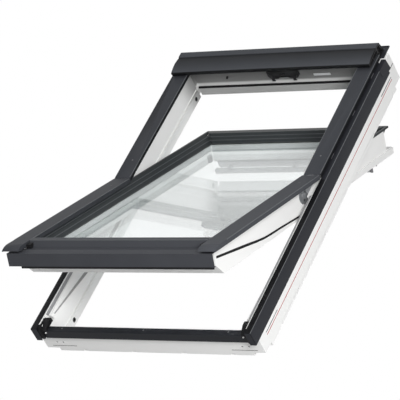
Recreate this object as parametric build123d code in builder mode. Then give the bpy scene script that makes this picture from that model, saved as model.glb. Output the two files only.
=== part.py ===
from build123d import *
import math
import os

# Centre-pivot roof window, shown open in a roof of 45 degrees, lengths in millimetres.
# Window coordinates: x to the right seen from outside, v up the slope from the middle
# of the frame, n outward from the top of the side cladding. The sash uses the same
# coordinates for its closed place and is turned about the pivot line.

ROOF_PITCH = 45.0
OPEN_ANGLE = 25.5
PIVOT_V = 21.0
COVER_TOP = 19.0

# Frame body
BODY_X = 388.8
BODY_V = 588.0
BODY_ROOM = -119.0
BODY_TOP = -1.2
OPENING_X = BODY_X - 43.8
CORNER_ROOM = -105.0
CORNER_V = BODY_V - 43.0
GASKET_SEAT = -8.0
GASKET_SEAT_X = BODY_X - 22.8
GROOVE_TOP = -77.5
GROOVE_LOW = -89.0
GROOVE_DEPTH = 9.0
SHEET = 1.2
CLAD_X = BODY_X + SHEET
CLAD_IN_X = BODY_X - 24.8
CLAD_LOW_V = -BODY_V - 21.0
CLAD_HIGH_V = CORNER_V + 7.0
CLAD_DROP = -50.0
SLOT_LENGTH = 91.0
SLOT_WIDTH = 1.6
SLOT_DEPTH = 20.0
MARK_N = -73.0

# Top and bottom of the frame
TOP_FACE_V = BODY_V - 28.0
TOP_LIP_V = TOP_FACE_V - 5.0
SILL_COVER_N = -22.0
SILL_COVER_X = OPENING_X + 15.0
SILL_SHELF_V = -BODY_V + 15.0
SILL_IN_V = -BODY_V + 54.0
SILL_NOSE_V = -BODY_V - 10.0
SILL_DROP = -51.0
BACK_PLATE_X = BODY_X - 6.8
BACK_PLATE_V = BODY_V + 31.0
HOOD_X = BODY_X - 19.8
HOOD_RIDGE_V = BODY_V - 94.0
HOOD_RIDGE_N = 36.0

# Covers along the sides
COVER_X = BODY_X - 13.8
COVER_IN_X = COVER_X - 60.0
UPPER_IN_X = COVER_X - 57.0
COVER_LOW_N = 5.0
PIVOT_GAP = 0.5
SCREW_R = 2.8
SCREW_HEAD = 0.8
SCREW_SINK = 1.2
SCREW_SINK_GAP = 0.5

# Sash
SASH_X = OPENING_X - 7.0
SASH_IN_X = SASH_X - 38.0
SASH_ROOM = -88.0
SASH_TOP_N = -2.0
REBATE_X = SASH_X - 10.0
REBATE_N = -52.0
SASH_LOW_V = -BODY_V + 23.0
SASH_HIGH_V = BODY_V - 39.0
SASH_WALL_V = SASH_HIGH_V - 36.0
SASH_LEDGE_N = -66.0
LIP_X = SASH_X + 4.0
LIP_N = -68.0
PANE_X = REBATE_X - 3.0
PANE_LOW_V = SASH_LOW_V + 28.0
PANE_HIGH_V = SASH_WALL_V - 11.0
GLASS_LOW_V = SASH_LOW_V + 65.0
GLASS_HIGH_V = SASH_WALL_V - 26.0
SASH_HEEL_V = SASH_LOW_V + 35.0
VENT_PLACES = (-240.0, 50.0)
VENT_LENGTH = 190.0
PANE_TOP_N = -27.0
PANE_T = 4.0
SPACER_T = 16.0
SASH_COVER_X = COVER_X - 13.0
SASH_COVER_V = SASH_LOW_V - 43.0
SASH_COVER_DROP = -41.0
NOSE_START_V = SASH_COVER_V + 31.0
TRIM_X = SASH_X + 2.0
TRIM_IN_X = SASH_X - 35.0
TRIM_N = 5.0
TRIM_HIGH_V = SASH_HIGH_V - 5.0
LOW_TRIM_X = SASH_IN_X + 14.0
TRIM_LOW_V = SASH_LOW_V + 49.0
TRIM_MITRE_V = TRIM_HIGH_V - 45.0
MITRE_END_V = TRIM_MITRE_V + (TRIM_HIGH_V - TRIM_MITRE_V) * (TRIM_X + 10 - TRIM_IN_X) / (TRIM_X - TRIM_IN_X)
FLANGE_LOW_N = TRIM_N + 1.5

# Pivot hinge: a curved rail on the sash slides in a curved track on the frame
TRACK_R = 50.0
TRACK_HALF = 3.2
RAIL_HALF = 3.15
HINGE_R = 60.0
HINGE_TOP_N = 12.0
TRACK_FACE_X = OPENING_X - 3.8
TRACK_DEPTH = 2.2
SASH_PLATE_X = SASH_X + 1.6
RAIL_FACE_X = TRACK_FACE_X + 1.9
RAIL_FROM = -55.0
RAIL_TO = -10.0

# Sash bolt and its two seats in the left frame member
BOLT_R = 3.5
BOLT_CLEAR = 0.06
BOLT_N = -82.5
BOLT_REST_X = -SASH_X + 0.5
SEAT_N = -102.0
SEAT_OFFSET = BODY_V - 91.0
SEAT_R = 8.0
SEAT_BORE_R = 4.0
SEAT_DEPTH = 12.0
SEAT_REACH = math.hypot(SEAT_OFFSET, COVER_TOP - SEAT_N)
BOLT_V = PIVOT_V + math.sqrt(SEAT_REACH ** 2 - (COVER_TOP - BOLT_N) ** 2)

# Ventilation flap with its control bar, and the latch
FLAP_X = SASH_IN_X - 10.0
FLAP_PIN_V = SASH_HIGH_V - 3.6
FLAP_PIN_N = -92.4
FLAP_PIN_R = 2.5
PIN_CLEAR = 0.08
FLAP_EDGE_V = FLAP_PIN_V - 49.4
BAR_X = FLAP_X - 2.0
ARM_PLACES = (-249.0, 0.0, 249.0)
CLIP_PLACES = (-200.0, 0.0, 200.0)
LATCH_TRAVEL_GAP = 0.25
STRIKER_V = TOP_FACE_V - 9.0

# Row origin: the middle of the outer face of the bottom member
ORIGIN_V = -BODY_V
ORIGIN_N = -62.0

FRAME = math.radians(ROOF_PITCH)
SASH = math.radians(ROOF_PITCH - OPEN_ANGLE)
PIVOT_Y = (PIVOT_V - ORIGIN_V) * math.cos(FRAME) - (COVER_TOP - ORIGIN_N) * math.sin(FRAME)
PIVOT_Z = (PIVOT_V - ORIGIN_V) * math.sin(FRAME) + (COVER_TOP - ORIGIN_N) * math.cos(FRAME)

os.makedirs("parts", exist_ok=True)


def spot(lean, x, v, n):
    up, out = v - PIVOT_V, n - COVER_TOP
    return (x, PIVOT_Y + up * math.cos(lean) - out * math.sin(lean),
            PIVOT_Z + up * math.sin(lean) + out * math.cos(lean))


def flat(lean, n):
    """Plane parallel to the window: sketch x across, sketch y up the slope from v 0."""
    return Plane(origin=spot(lean, 0, 0, n), x_dir=(1, 0, 0),
                 z_dir=(0, -math.sin(lean), math.cos(lean)))


def along(lean, v):
    """Plane across the slope at v: sketch x across, sketch y outward, grows down the slope."""
    return Plane(origin=spot(lean, 0, v, 0), x_dir=(1, 0, 0),
                 z_dir=(0, -math.cos(lean), -math.sin(lean)))


def across(lean, x):
    """Plane at x: sketch x up the slope, sketch y outward, grows to the right."""
    return Plane(origin=spot(lean, x, 0, 0), x_dir=(0, math.cos(lean), math.sin(lean)),
                 z_dir=(1, 0, 0))


def outline(*points):
    return Polygon(*points, align=None)


def mirrored(side, points):
    return [(side * x, y) for x, y in points]


def block(x0, x1, y0, y1):
    """Rectangle between two corners."""
    return Polygon((x0, y0), (x1, y0), (x1, y1), (x0, y1), align=None)


def save(solid, name):
    solid.label = name
    export_step(solid, "parts/" + name + ".step")


SIDES = ((-1, "left"), (1, "right"))
CORNER_SCREWS = ((-342, -80), (-319, -80), (319, -80), (342, -80))

# Side members of the frame: rebated for the seal, grooved for the sash bolt
for side, name in SIDES:
    with BuildPart() as frame_side_member:
        with BuildSketch(along(FRAME, CORNER_V)):
            outline(*mirrored(side, [
                (BODY_X, BODY_TOP), (BODY_X, MARK_N + 0.75), (BODY_X - 1, MARK_N + 0.75),
                (BODY_X - 1, MARK_N - 0.75), (BODY_X, MARK_N - 0.75), (BODY_X, BODY_ROOM + 2),
                (BODY_X - 2, BODY_ROOM), (OPENING_X + 2, BODY_ROOM), (OPENING_X, BODY_ROOM + 2),
                (OPENING_X, GROOVE_LOW), (OPENING_X + GROOVE_DEPTH, GROOVE_LOW),
                (OPENING_X + GROOVE_DEPTH, GROOVE_TOP), (OPENING_X, GROOVE_TOP),
                (OPENING_X, GASKET_SEAT), (GASKET_SEAT_X, GASKET_SEAT), (GASKET_SEAT_X, BODY_TOP)]))
        extrude(amount=2 * CORNER_V)
        # thin slots for the fixing brackets
        with BuildSketch(across(FRAME, side * (BODY_X - SLOT_DEPTH))):
            for v0 in (-CORNER_V, CORNER_V - SLOT_LENGTH):
                block(v0, v0 + SLOT_LENGTH, -64 - SLOT_WIDTH / 2, -64 + SLOT_WIDTH / 2)
        extrude(amount=side * (SLOT_DEPTH + 1), mode=Mode.SUBTRACT)
        # half-round notches at the room-side edge
        with BuildSketch(across(FRAME, side * (BODY_X - 3))):
            for v in (-472, -332, -98, 94, 342, 519):
                with Locations((v, BODY_ROOM + 3)):
                    Circle(9)
        extrude(amount=side * 4, mode=Mode.SUBTRACT)
        if side < 0:
            with BuildSketch(across(FRAME, -OPENING_X)):
                for up in (-SEAT_OFFSET, SEAT_OFFSET):
                    with Locations((PIVOT_V + up, SEAT_N)):
                        Circle(SEAT_R)
            extrude(amount=-SEAT_DEPTH, mode=Mode.SUBTRACT)
    save(frame_side_member.part, "frame_" + name + "_member")

# Bottom member: slanted inside for the swing of the sash, low blocks at both corners
SILL_TOP = SILL_COVER_N - SHEET
with BuildPart() as frame_bottom_member:
    with BuildSketch(across(FRAME, -OPENING_X)):
        outline((-BODY_V, SILL_TOP), (-BODY_V, BODY_ROOM + 2), (-BODY_V + 2, BODY_ROOM),
                (SILL_IN_V - 2, BODY_ROOM), (SILL_IN_V, BODY_ROOM + 2), (SILL_IN_V, -97),
                (SILL_SHELF_V, -60), (SILL_SHELF_V, SILL_TOP))
    extrude(amount=2 * OPENING_X)
    for x0, x1 in ((-BODY_X, -OPENING_X), (OPENING_X, BODY_X)):
        with BuildSketch(across(FRAME, x0)):
            block(-BODY_V, -CORNER_V, CORNER_ROOM, SILL_TOP)
        extrude(amount=x1 - x0)
    for x0, x1 in ((-BODY_X, -SILL_COVER_X - 2), (SILL_COVER_X + 2, BODY_X)):
        with BuildSketch(across(FRAME, x0)):
            block(-BODY_V, -CORNER_V, SILL_TOP, GASKET_SEAT)
        extrude(amount=x1 - x0)
    for x0, x1 in ((-BODY_X, -GASKET_SEAT_X), (GASKET_SEAT_X, BODY_X)):
        with BuildSketch(across(FRAME, x0)):
            block(-BODY_V, -CORNER_V, GASKET_SEAT, BODY_TOP)
        extrude(amount=x1 - x0)
    with BuildSketch(along(FRAME, -BODY_V + 12)):
        for x0 in (-366, 275):
            block(x0, x0 + SLOT_LENGTH, -95 - SLOT_WIDTH / 2, -95 + SLOT_WIDTH / 2)
    extrude(amount=13, mode=Mode.SUBTRACT)
    with BuildSketch(along(FRAME, -BODY_V + 3)):
        for x in (-251, -76, 101, 275):
            with Locations((x, BODY_ROOM + 2)):
                Circle(9)
    extrude(amount=4, mode=Mode.SUBTRACT)
    with BuildSketch(along(FRAME, -BODY_V + SCREW_SINK)):
        with Locations(*CORNER_SCREWS):
            Circle(SCREW_R + SCREW_SINK_GAP)
    extrude(amount=SCREW_SINK + 1, mode=Mode.SUBTRACT)
save(frame_bottom_member.part, "frame_bottom_member")

# Top member with the step that carries the top seal
with BuildPart() as frame_top_member:
    with BuildSketch(across(FRAME, -OPENING_X)):
        outline((BODY_V, BODY_TOP), (TOP_FACE_V, BODY_TOP), (TOP_FACE_V, -88), (TOP_LIP_V, -88),
                (TOP_LIP_V, BODY_ROOM + 2), (TOP_LIP_V + 2, BODY_ROOM), (BODY_V - 2, BODY_ROOM),
                (BODY_V, BODY_ROOM + 2))
    extrude(amount=2 * OPENING_X)
    for x0, x1 in ((-BODY_X, -OPENING_X), (OPENING_X, BODY_X)):
        with BuildSketch(across(FRAME, x0)):
            block(CORNER_V, BODY_V, CORNER_ROOM, BODY_TOP)
        extrude(amount=x1 - x0)
    for side in (-1, 1):
        with BuildSketch(across(FRAME, side * (BODY_X - SLOT_DEPTH))):
            block(CORNER_V + 8, BODY_V - 1, -42 - SLOT_WIDTH / 2, -42 + SLOT_WIDTH / 2)
        extrude(amount=side * (SLOT_DEPTH + 1), mode=Mode.SUBTRACT)
save(frame_top_member.part, "frame_top_member")

# Red lines that mark the fitting depth, set in the outer faces
with BuildPart() as depth_lines:
    for side in (-1, 1):
        with BuildSketch(along(FRAME, CORNER_V)):
            block(side * (BODY_X - 1), side * (BODY_X + 0.05), MARK_N - 0.75, MARK_N + 0.75)
        extrude(amount=2 * CORNER_V)
save(depth_lines.part, "depth_lines")

# Folded side claddings with a closed lower end
for side, name in SIDES:
    with BuildPart() as cladding:
        with BuildSketch(along(FRAME, CLAD_HIGH_V)):
            outline(*mirrored(side, [
                (CLAD_IN_X, -6), (CLAD_IN_X, 0), (CLAD_X, 0), (CLAD_X, CLAD_DROP),
                (BODY_X, CLAD_DROP), (BODY_X, -SHEET), (CLAD_IN_X + SHEET, -SHEET),
                (CLAD_IN_X + SHEET, -6)]))
        extrude(amount=CLAD_HIGH_V - CLAD_LOW_V)
        with BuildSketch(along(FRAME, CLAD_LOW_V + SHEET)):
            block(side * CLAD_IN_X, side * CLAD_X, CLAD_DROP, 0)
        extrude(amount=SHEET)
        with BuildSketch(across(FRAME, side * (CLAD_IN_X - 1))):
            with Locations((CLAD_HIGH_V, 0)):
                outline((-11, 1), (1, 1), (1, CLAD_DROP - 1), (-1, CLAD_DROP - 1))
        extrude(amount=side * 30, mode=Mode.SUBTRACT)
    save(cladding.part, "side_cladding_" + name)

# Small corner pieces over the upper ends of the claddings
with BuildPart() as top_corner_pieces:
    for side in (-1, 1):
        with BuildSketch(along(FRAME, CLAD_HIGH_V + 10)):
            outline(*mirrored(side, [
                (COVER_X + 1, 0), (COVER_X + 1, 1), (CLAD_X + 1, 1), (CLAD_X + 1, -40), (CLAD_X, -40),
                (CLAD_X, 0)]))
        extrude(amount=61)
        with BuildSketch(across(FRAME, side * COVER_X)):
            with Locations((CLAD_HIGH_V, 0)):
                outline((4, 2), (11, 2), (11, -41), (10, -41))
                outline((-52, -41), (-39, -41), (-52, -22))
        extrude(amount=side * 20, mode=Mode.SUBTRACT)
save(top_corner_pieces.part, "top_corner_pieces")

# Folded cover over the bottom member
with BuildPart() as sill_cover:
    with BuildSketch(across(FRAME, -SILL_COVER_X)):
        outline((SILL_SHELF_V - 3, SILL_COVER_N), (SILL_NOSE_V, SILL_COVER_N), (SILL_NOSE_V, SILL_DROP),
                (-BODY_V - 3, SILL_DROP), (-BODY_V - 3, SILL_DROP + SHEET),
                (SILL_NOSE_V + SHEET, SILL_DROP + SHEET), (SILL_NOSE_V + SHEET, SILL_TOP),
                (SILL_SHELF_V - 3, SILL_TOP))
    extrude(amount=2 * SILL_COVER_X)
save(sill_cover.part, "sill_cover")

# Rubber blocks that close the corners between sill cover and side claddings
with BuildPart() as corner_seals:
    for side in (-1, 1):
        inner, nose = SILL_SHELF_V + 0.5, SILL_NOSE_V - 1
        with BuildSketch(across(FRAME, side * (OPENING_X + 1))):
            with BuildLine():
                Line((inner, -21.9), (inner, -9))
                Line((inner, -9), (nose + 13, -9))
                RadiusArc((nose + 13, -9), (nose, -21.9), -13)
                Line((nose, -21.9), (inner, -21.9))
            make_face()
        extrude(amount=side * (SILL_COVER_X - OPENING_X + 0.7))
save(corner_seals.part, "corner_seals")

# Plate over the back of the frame top, with a raised rim
with BuildPart() as back_plate:
    rim_x = BACK_PLATE_X - 1.5
    with BuildSketch(along(FRAME, BACK_PLATE_V)):
        outline((-BACK_PLATE_X, -SHEET), (BACK_PLATE_X, -SHEET), (BACK_PLATE_X, 3.5), (rim_x, 3.5),
                (rim_x, 0), (-rim_x, 0), (-rim_x, 3.5), (-BACK_PLATE_X, 3.5))
    extrude(amount=55)
    with BuildSketch(along(FRAME, BACK_PLATE_V)):
        block(-BACK_PLATE_X, BACK_PLATE_X, -SHEET, 3.5)
    extrude(amount=1.5)
save(back_plate.part, "back_plate")

# Hood folded from sheet: drip edge, broad top with a small step, back wall
with BuildPart() as top_hood:
    with BuildSketch(across(FRAME, -HOOD_X)):
        with Locations((HOOD_RIDGE_V, HOOD_RIDGE_N)):
            outline((1.5, -11), (0, -1), (1.5, 0), (70, 3.3), (72.5, 6), (92, 6.5), (96, 4), (107, -35.8),
                    (115, -35.8), (115, -34.6), (108, -34.6), (97, 5), (92.4, 7.7), (72, 7.2),
                    (69.4, 4.5), (1, 1.2), (-1.4, -0.5), (0.3, -11))
    extrude(amount=2 * HOOD_X)
save(top_hood.part, "top_hood")

# Ribbed plastic end pieces inside both ends of the hood
with BuildPart() as hood_ends:
    for side in (-1, 1):
        with BuildSketch(across(FRAME, side * (HOOD_X - 14))):
            with Locations((HOOD_RIDGE_V, HOOD_RIDGE_N)):
                outline((3, -14.5), (3, -1.5), (69, 2), (73, 4.7), (90.5, 5), (94.5, 2.5),
                        (105, -35.7), (79, -35.7), (72, -14.5))
        extrude(amount=side * 13.5)
        with BuildSketch(across(FRAME, side * (HOOD_X - 11))):
            with Locations((HOOD_RIDGE_V, HOOD_RIDGE_N)):
                outline((7, -11.5), (7, -4.5), (34, -3), (34, -11.5))
                outline((37, -11.5), (37, -2.8), (67, -1), (69, -6), (69, -11.5))
                outline((76, 0.5), (89, 1), (100, -32.5), (82, -32.5), (76, -11.5))
        extrude(amount=side * 11, mode=Mode.SUBTRACT)
save(hood_ends.part, "hood_ends")

# Side covers: upper pair on the frame, lower pair on the sash with a curved nose
for side, name in SIDES:
    with BuildPart() as upper_cover:
        with BuildSketch(along(FRAME, TOP_FACE_V)):
            outline(*mirrored(side, [
                (UPPER_IN_X, FLANGE_LOW_N), (UPPER_IN_X, COVER_TOP), (COVER_X, COVER_TOP),
                (COVER_X, COVER_LOW_N), (COVER_X - 1, COVER_LOW_N), (COVER_X - 1, COVER_TOP - 1),
                (UPPER_IN_X + 1, COVER_TOP - 1), (UPPER_IN_X + 1, FLANGE_LOW_N)]))
        extrude(amount=TOP_FACE_V - PIVOT_V - PIVOT_GAP)
    save(upper_cover.part, "upper_cover_" + name)
    with BuildPart() as lower_cover:
        with BuildSketch(across(SASH, side * COVER_IN_X)):
            with BuildLine():
                Line((PIVOT_V - PIVOT_GAP, COVER_LOW_N), (PIVOT_V - PIVOT_GAP, COVER_TOP))
                Line((PIVOT_V - PIVOT_GAP, COVER_TOP), (NOSE_START_V, COVER_TOP))
                ThreePointArc((NOSE_START_V, COVER_TOP), (NOSE_START_V - 19, 16.2), (NOSE_START_V - 34, 8))
                Line((NOSE_START_V - 34, 8), (NOSE_START_V - 31, COVER_LOW_N))
                Line((NOSE_START_V - 31, COVER_LOW_N), (PIVOT_V - PIVOT_GAP, COVER_LOW_N))
            make_face()
        extrude(amount=side * (COVER_X - COVER_IN_X))
        with BuildSketch(across(SASH, side * (COVER_IN_X + 1))):
            with BuildLine():
                Line((PIVOT_V, COVER_LOW_N - 1), (PIVOT_V, COVER_TOP - 1))
                Line((PIVOT_V, COVER_TOP - 1), (NOSE_START_V, COVER_TOP - 1))
                ThreePointArc((NOSE_START_V, COVER_TOP - 1), (NOSE_START_V - 18.6, 15.2),
                              (NOSE_START_V - 33, 7.4))
                Line((NOSE_START_V - 33, 7.4), (NOSE_START_V - 32, COVER_LOW_N - 1))
                Line((NOSE_START_V - 32, COVER_LOW_N - 1), (PIVOT_V, COVER_LOW_N - 1))
            make_face()
        extrude(amount=side * (COVER_X - COVER_IN_X - 2), mode=Mode.SUBTRACT)
    save(lower_cover.part, "lower_cover_" + name)

# Blocks that carry the covers
with BuildPart() as upper_cover_blocks:
    for side in (-1, 1):
        for v in (PIVOT_V + 89, PIVOT_V + 279, HOOD_RIDGE_V - 24):
            with BuildSketch(flat(FRAME, 0)):
                block(side * (COVER_X - 9), side * (COVER_X - 2), v, v + 22)
            extrude(amount=COVER_TOP - 1)
save(upper_cover_blocks.part, "upper_cover_blocks")
with BuildPart() as lower_cover_blocks:
    for side in (-1, 1):
        for v in (SASH_LOW_V + 45, SASH_LOW_V + 235, PIVOT_V - 121):
            with BuildSketch(flat(SASH, TRIM_N)):
                block(side * (TRIM_X - 6), side * (TRIM_X - 1), v, v + 22)
            extrude(amount=COVER_TOP - 1 - TRIM_N)
save(lower_cover_blocks.part, "lower_cover_blocks")

# Screws of one kind: through the corners of the frame, and as small dots on the covers
with BuildPart() as frame_screws:
    with BuildSketch(along(FRAME, -BODY_V + SCREW_SINK)):
        with Locations(*CORNER_SCREWS):
            Circle(SCREW_R)
    extrude(amount=SCREW_HEAD)
    with BuildSketch(flat(FRAME, SILL_COVER_N)):
        with Locations((-296, -BODY_V + 4), (0, -BODY_V + 4), (296, -BODY_V + 4)):
            Circle(SCREW_R)
    extrude(amount=SCREW_HEAD)
    with BuildSketch(flat(FRAME, COVER_TOP)):
        with Locations((-COVER_X + 30, PIVOT_V + 83), (COVER_X - 30, PIVOT_V + 83)):
            Circle(SCREW_R)
    extrude(amount=SCREW_HEAD)
save(frame_screws.part, "frame_screws")
with BuildPart() as sash_cover_screws:
    with BuildSketch(flat(SASH, COVER_TOP)):
        with Locations((-COVER_X + 32, PIVOT_V - 71), (COVER_X - 32, PIVOT_V - 71)):
            Circle(SCREW_R)
    extrude(amount=SCREW_HEAD)
save(sash_cover_screws.part, "sash_cover_screws")

# Rubber seals of the frame
with BuildPart() as frame_side_seals:
    for side in (-1, 1):
        with BuildSketch(along(FRAME, CORNER_V)):
            outline(*mirrored(side, [
                (OPENING_X, GASKET_SEAT), (CLAD_IN_X - 0.3, GASKET_SEAT), (CLAD_IN_X - 0.3, -1.5),
                (OPENING_X + 2, -1.5), (OPENING_X - 1.4, -6), (OPENING_X - 1.4, -13), (OPENING_X, -13)]))
        extrude(amount=CORNER_V - SILL_SHELF_V - 1)
        with BuildSketch(flat(FRAME, -15)):
            with Locations((0, PIVOT_V)):
                block(side * (OPENING_X - 5), side * (OPENING_X + 1), -HINGE_R - 2, HINGE_R + 2)
        extrude(amount=30, mode=Mode.SUBTRACT)
save(frame_side_seals.part, "frame_side_seals")
with BuildPart() as frame_top_seal:
    with BuildSketch(across(FRAME, -OPENING_X + 0.5)):
        outline((TOP_FACE_V, -82), (TOP_FACE_V - 3, -82), (TOP_LIP_V - 2.5, -84), (TOP_LIP_V - 2.5, -86),
                (TOP_FACE_V - 4, -88), (TOP_FACE_V, -88))
    extrude(amount=2 * OPENING_X - 1)
save(frame_top_seal.part, "frame_top_seal")
with BuildPart() as frame_sill_seal:
    with BuildSketch(across(FRAME, -OPENING_X + 0.5)):
        with Locations((SILL_SHELF_V, 0)):
            outline((0, -60), (10.5, -69.96), (15, -64), (12, -60), (5, -57))
    extrude(amount=2 * OPENING_X - 1)
save(frame_sill_seal.part, "frame_sill_seal")

# Striker of the lock with an open pocket, and the bare plate beside it
with BuildPart() as lock_striker:
    with BuildSketch(across(FRAME, -42)):
        outline((TOP_FACE_V, -31), (TOP_FACE_V, -79), (STRIKER_V + 2, -79), (STRIKER_V, -76),
                (STRIKER_V, -40), (STRIKER_V + 4, -31))
    extrude(amount=84)
    with BuildSketch(along(FRAME, STRIKER_V + 6)):
        block(-12, 12, -66, -44)
        block(-36, -22, -72, -38)
        block(22, 36, -72, -38)
    extrude(amount=8, mode=Mode.SUBTRACT)
    with BuildSketch(along(FRAME, STRIKER_V + 1)):
        outline((-42.5, -80), (-34, -80), (-34, -75), (-42.5, -70))
        outline((42.5, -80), (34, -80), (34, -75), (42.5, -70))
    extrude(amount=2, mode=Mode.SUBTRACT)
save(lock_striker.part, "lock_striker")
with BuildPart() as top_member_plate:
    with BuildSketch(along(FRAME, TOP_FACE_V)):
        block(106, 170, -72, -52)
    extrude(amount=1)
save(top_member_plate.part, "top_member_plate")

# Pivot hinge: frame plates with the curved track
for side, name in SIDES:
    with BuildPart() as track_plate:
        with BuildSketch(across(FRAME, side * OPENING_X)):
            with Locations((PIVOT_V, COVER_TOP)):
                Circle(HINGE_R)
                Circle(24, mode=Mode.SUBTRACT)
            Polygon((PIVOT_V - 2 * HINGE_R, HINGE_TOP_N), (PIVOT_V + 2 * HINGE_R, HINGE_TOP_N),
                    (PIVOT_V + 2 * HINGE_R, COVER_TOP + 2 * HINGE_R),
                    (PIVOT_V - 2 * HINGE_R, COVER_TOP + 2 * HINGE_R), align=None, mode=Mode.SUBTRACT)
        extrude(amount=-side * (OPENING_X - TRACK_FACE_X))
        with BuildSketch(across(FRAME, side * TRACK_FACE_X)):
            with Locations((PIVOT_V, COVER_TOP)):
                Circle(TRACK_R + TRACK_HALF)
                Circle(TRACK_R - TRACK_HALF, mode=Mode.SUBTRACT)
        extrude(amount=side * TRACK_DEPTH, mode=Mode.SUBTRACT)
    save(track_plate.part, "hinge_track_" + name)
    with BuildPart() as rail_plate:
        with BuildSketch(across(SASH, side * SASH_X)):
            with Locations((PIVOT_V - 55, COVER_TOP - 47)):
                Circle(26)
            with Locations((PIVOT_V, COVER_TOP)):
                outline((-55, -21), (-55, -73), (17, -65), (51, -21), (56, -10), (45, -8), (19, -29))
        extrude(amount=side * (SASH_PLATE_X - SASH_X))
        start, stop = math.radians(RAIL_FROM), math.radians(RAIL_TO)
        middle = (start + stop) / 2
        inner, outer = TRACK_R - RAIL_HALF, TRACK_R + RAIL_HALF
        ends = [(PIVOT_V + r * math.cos(a), COVER_TOP + r * math.sin(a))
                for r, a in ((inner, start), (inner, middle), (inner, stop),
                             (outer, start), (outer, middle), (outer, stop))]
        with BuildSketch(across(SASH, side * SASH_X)):
            with BuildLine():
                ThreePointArc(ends[0], ends[1], ends[2])
                Line(ends[2], ends[5])
                ThreePointArc(ends[5], ends[4], ends[3])
                Line(ends[3], ends[0])
            make_face()
        extrude(amount=side * (RAIL_FACE_X - SASH_X))
    save(rail_plate.part, "hinge_rail_" + name)
with BuildPart() as hinge_track_screws:
    for side in (-1, 1):
        with BuildSketch(across(FRAME, side * TRACK_FACE_X)):
            for degrees_round in (-50, -90, -130):
                turn = math.radians(degrees_round)
                with Locations((PIVOT_V + 35 * math.cos(turn), COVER_TOP + 35 * math.sin(turn))):
                    Circle(4)
        extrude(amount=-side * 0.4)
save(hinge_track_screws.part, "hinge_track_screws")
with BuildPart() as hinge_rail_screws:
    for side in (-1, 1):
        with BuildSketch(across(SASH, side * SASH_PLATE_X)):
            for up, out in ((-67, -33), (-39, -37), (-55, -61)):
                with Locations((PIVOT_V + up, COVER_TOP + out)):
                    Circle(4)
        extrude(amount=side * 0.6)
save(hinge_rail_screws.part, "hinge_rail_screws")

# Lined seats for the sash bolt in the left member
with BuildPart() as bolt_seats:
    with BuildSketch(across(FRAME, -OPENING_X)):
        for up in (-SEAT_OFFSET, SEAT_OFFSET):
            with Locations((PIVOT_V + up, SEAT_N)):
                Circle(SEAT_R)
                Circle(SEAT_BORE_R, mode=Mode.SUBTRACT)
    extrude(amount=-SEAT_DEPTH)
save(bolt_seats.part, "bolt_seats")

# Sash side members: rebate for the glass, lip on the upper half, slanted lower end
for side, name in SIDES:
    with BuildPart() as sash_side_member:
        with BuildSketch(along(SASH, SASH_HIGH_V)):
            outline(*mirrored(side, [
                (SASH_X, SASH_TOP_N), (SASH_X, SASH_ROOM), (SASH_IN_X + 3, SASH_ROOM),
                (SASH_IN_X, SASH_ROOM + 3), (SASH_IN_X, REBATE_N), (REBATE_X, REBATE_N),
                (REBATE_X, SASH_TOP_N)]))
        extrude(amount=SASH_HIGH_V - SASH_LOW_V)
        with BuildSketch(across(SASH, side * SASH_X)):
            outline((SASH_HIGH_V, SASH_ROOM), (SASH_HIGH_V, LIP_N), (PIVOT_V + 69, LIP_N),
                    (PIVOT_V + 29, SASH_ROOM))
        extrude(amount=side * (LIP_X - SASH_X))
        with BuildSketch(across(SASH, side * (SASH_IN_X - 1))):
            outline((SASH_WALL_V, 0), (SASH_HIGH_V + 1, 0), (SASH_HIGH_V + 1, SASH_LEDGE_N),
                    (SASH_WALL_V, SASH_LEDGE_N))
            outline((SASH_LOW_V - 1, REBATE_N), (SASH_LOW_V, REBATE_N), (SASH_HEEL_V, SASH_ROOM),
                    (SASH_HEEL_V, SASH_ROOM - 1), (SASH_LOW_V - 1, SASH_ROOM - 1))
        extrude(amount=side * 50, mode=Mode.SUBTRACT)
        if side < 0:
            with BuildSketch(across(SASH, -SASH_X - 5)):
                block(BOLT_V - 12, BOLT_V + 12, SASH_ROOM, -75)
            extrude(amount=40, mode=Mode.SUBTRACT)
    save(sash_side_member.part, "sash_" + name + "_member")

# Sash bottom and top members between the side members
with BuildPart() as sash_bottom_member:
    with BuildSketch(across(SASH, -SASH_IN_X)):
        outline((GLASS_LOW_V - 3, SASH_ROOM), (SASH_HEEL_V, SASH_ROOM), (SASH_LOW_V, REBATE_N),
                (SASH_LOW_V, -SHEET), (PANE_LOW_V - 3, -SHEET), (PANE_LOW_V - 3, REBATE_N),
                (GLASS_LOW_V, REBATE_N), (GLASS_LOW_V, SASH_ROOM + 3))
    extrude(amount=2 * SASH_IN_X)
save(sash_bottom_member.part, "sash_bottom_member")
with BuildPart() as sash_top_member:
    with BuildSketch(across(SASH, -SASH_IN_X)):
        outline((GLASS_HIGH_V, REBATE_N), (GLASS_HIGH_V, SASH_ROOM + 3), (GLASS_HIGH_V + 3, SASH_ROOM),
                (SASH_HIGH_V, SASH_ROOM), (SASH_HIGH_V, SASH_LEDGE_N), (SASH_WALL_V, SASH_LEDGE_N),
                (SASH_WALL_V, -19), (PANE_HIGH_V + 3, -19), (PANE_HIGH_V + 3, REBATE_N))
    extrude(amount=2 * SASH_IN_X)
    with BuildSketch(flat(SASH, SASH_ROOM - 1)):
        for x in VENT_PLACES:
            block(x, x + VENT_LENGTH, SASH_WALL_V + 6, SASH_WALL_V + 22)
    extrude(amount=30, mode=Mode.SUBTRACT)
save(sash_top_member.part, "sash_top_member")
with BuildPart() as vent_filters:
    for x in VENT_PLACES:
        with BuildSketch(flat(SASH, SASH_ROOM + 6)):
            block(x, x + VENT_LENGTH, SASH_WALL_V + 6, SASH_WALL_V + 22)
        extrude(amount=10)
save(vent_filters.part, "vent_filters")

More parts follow.
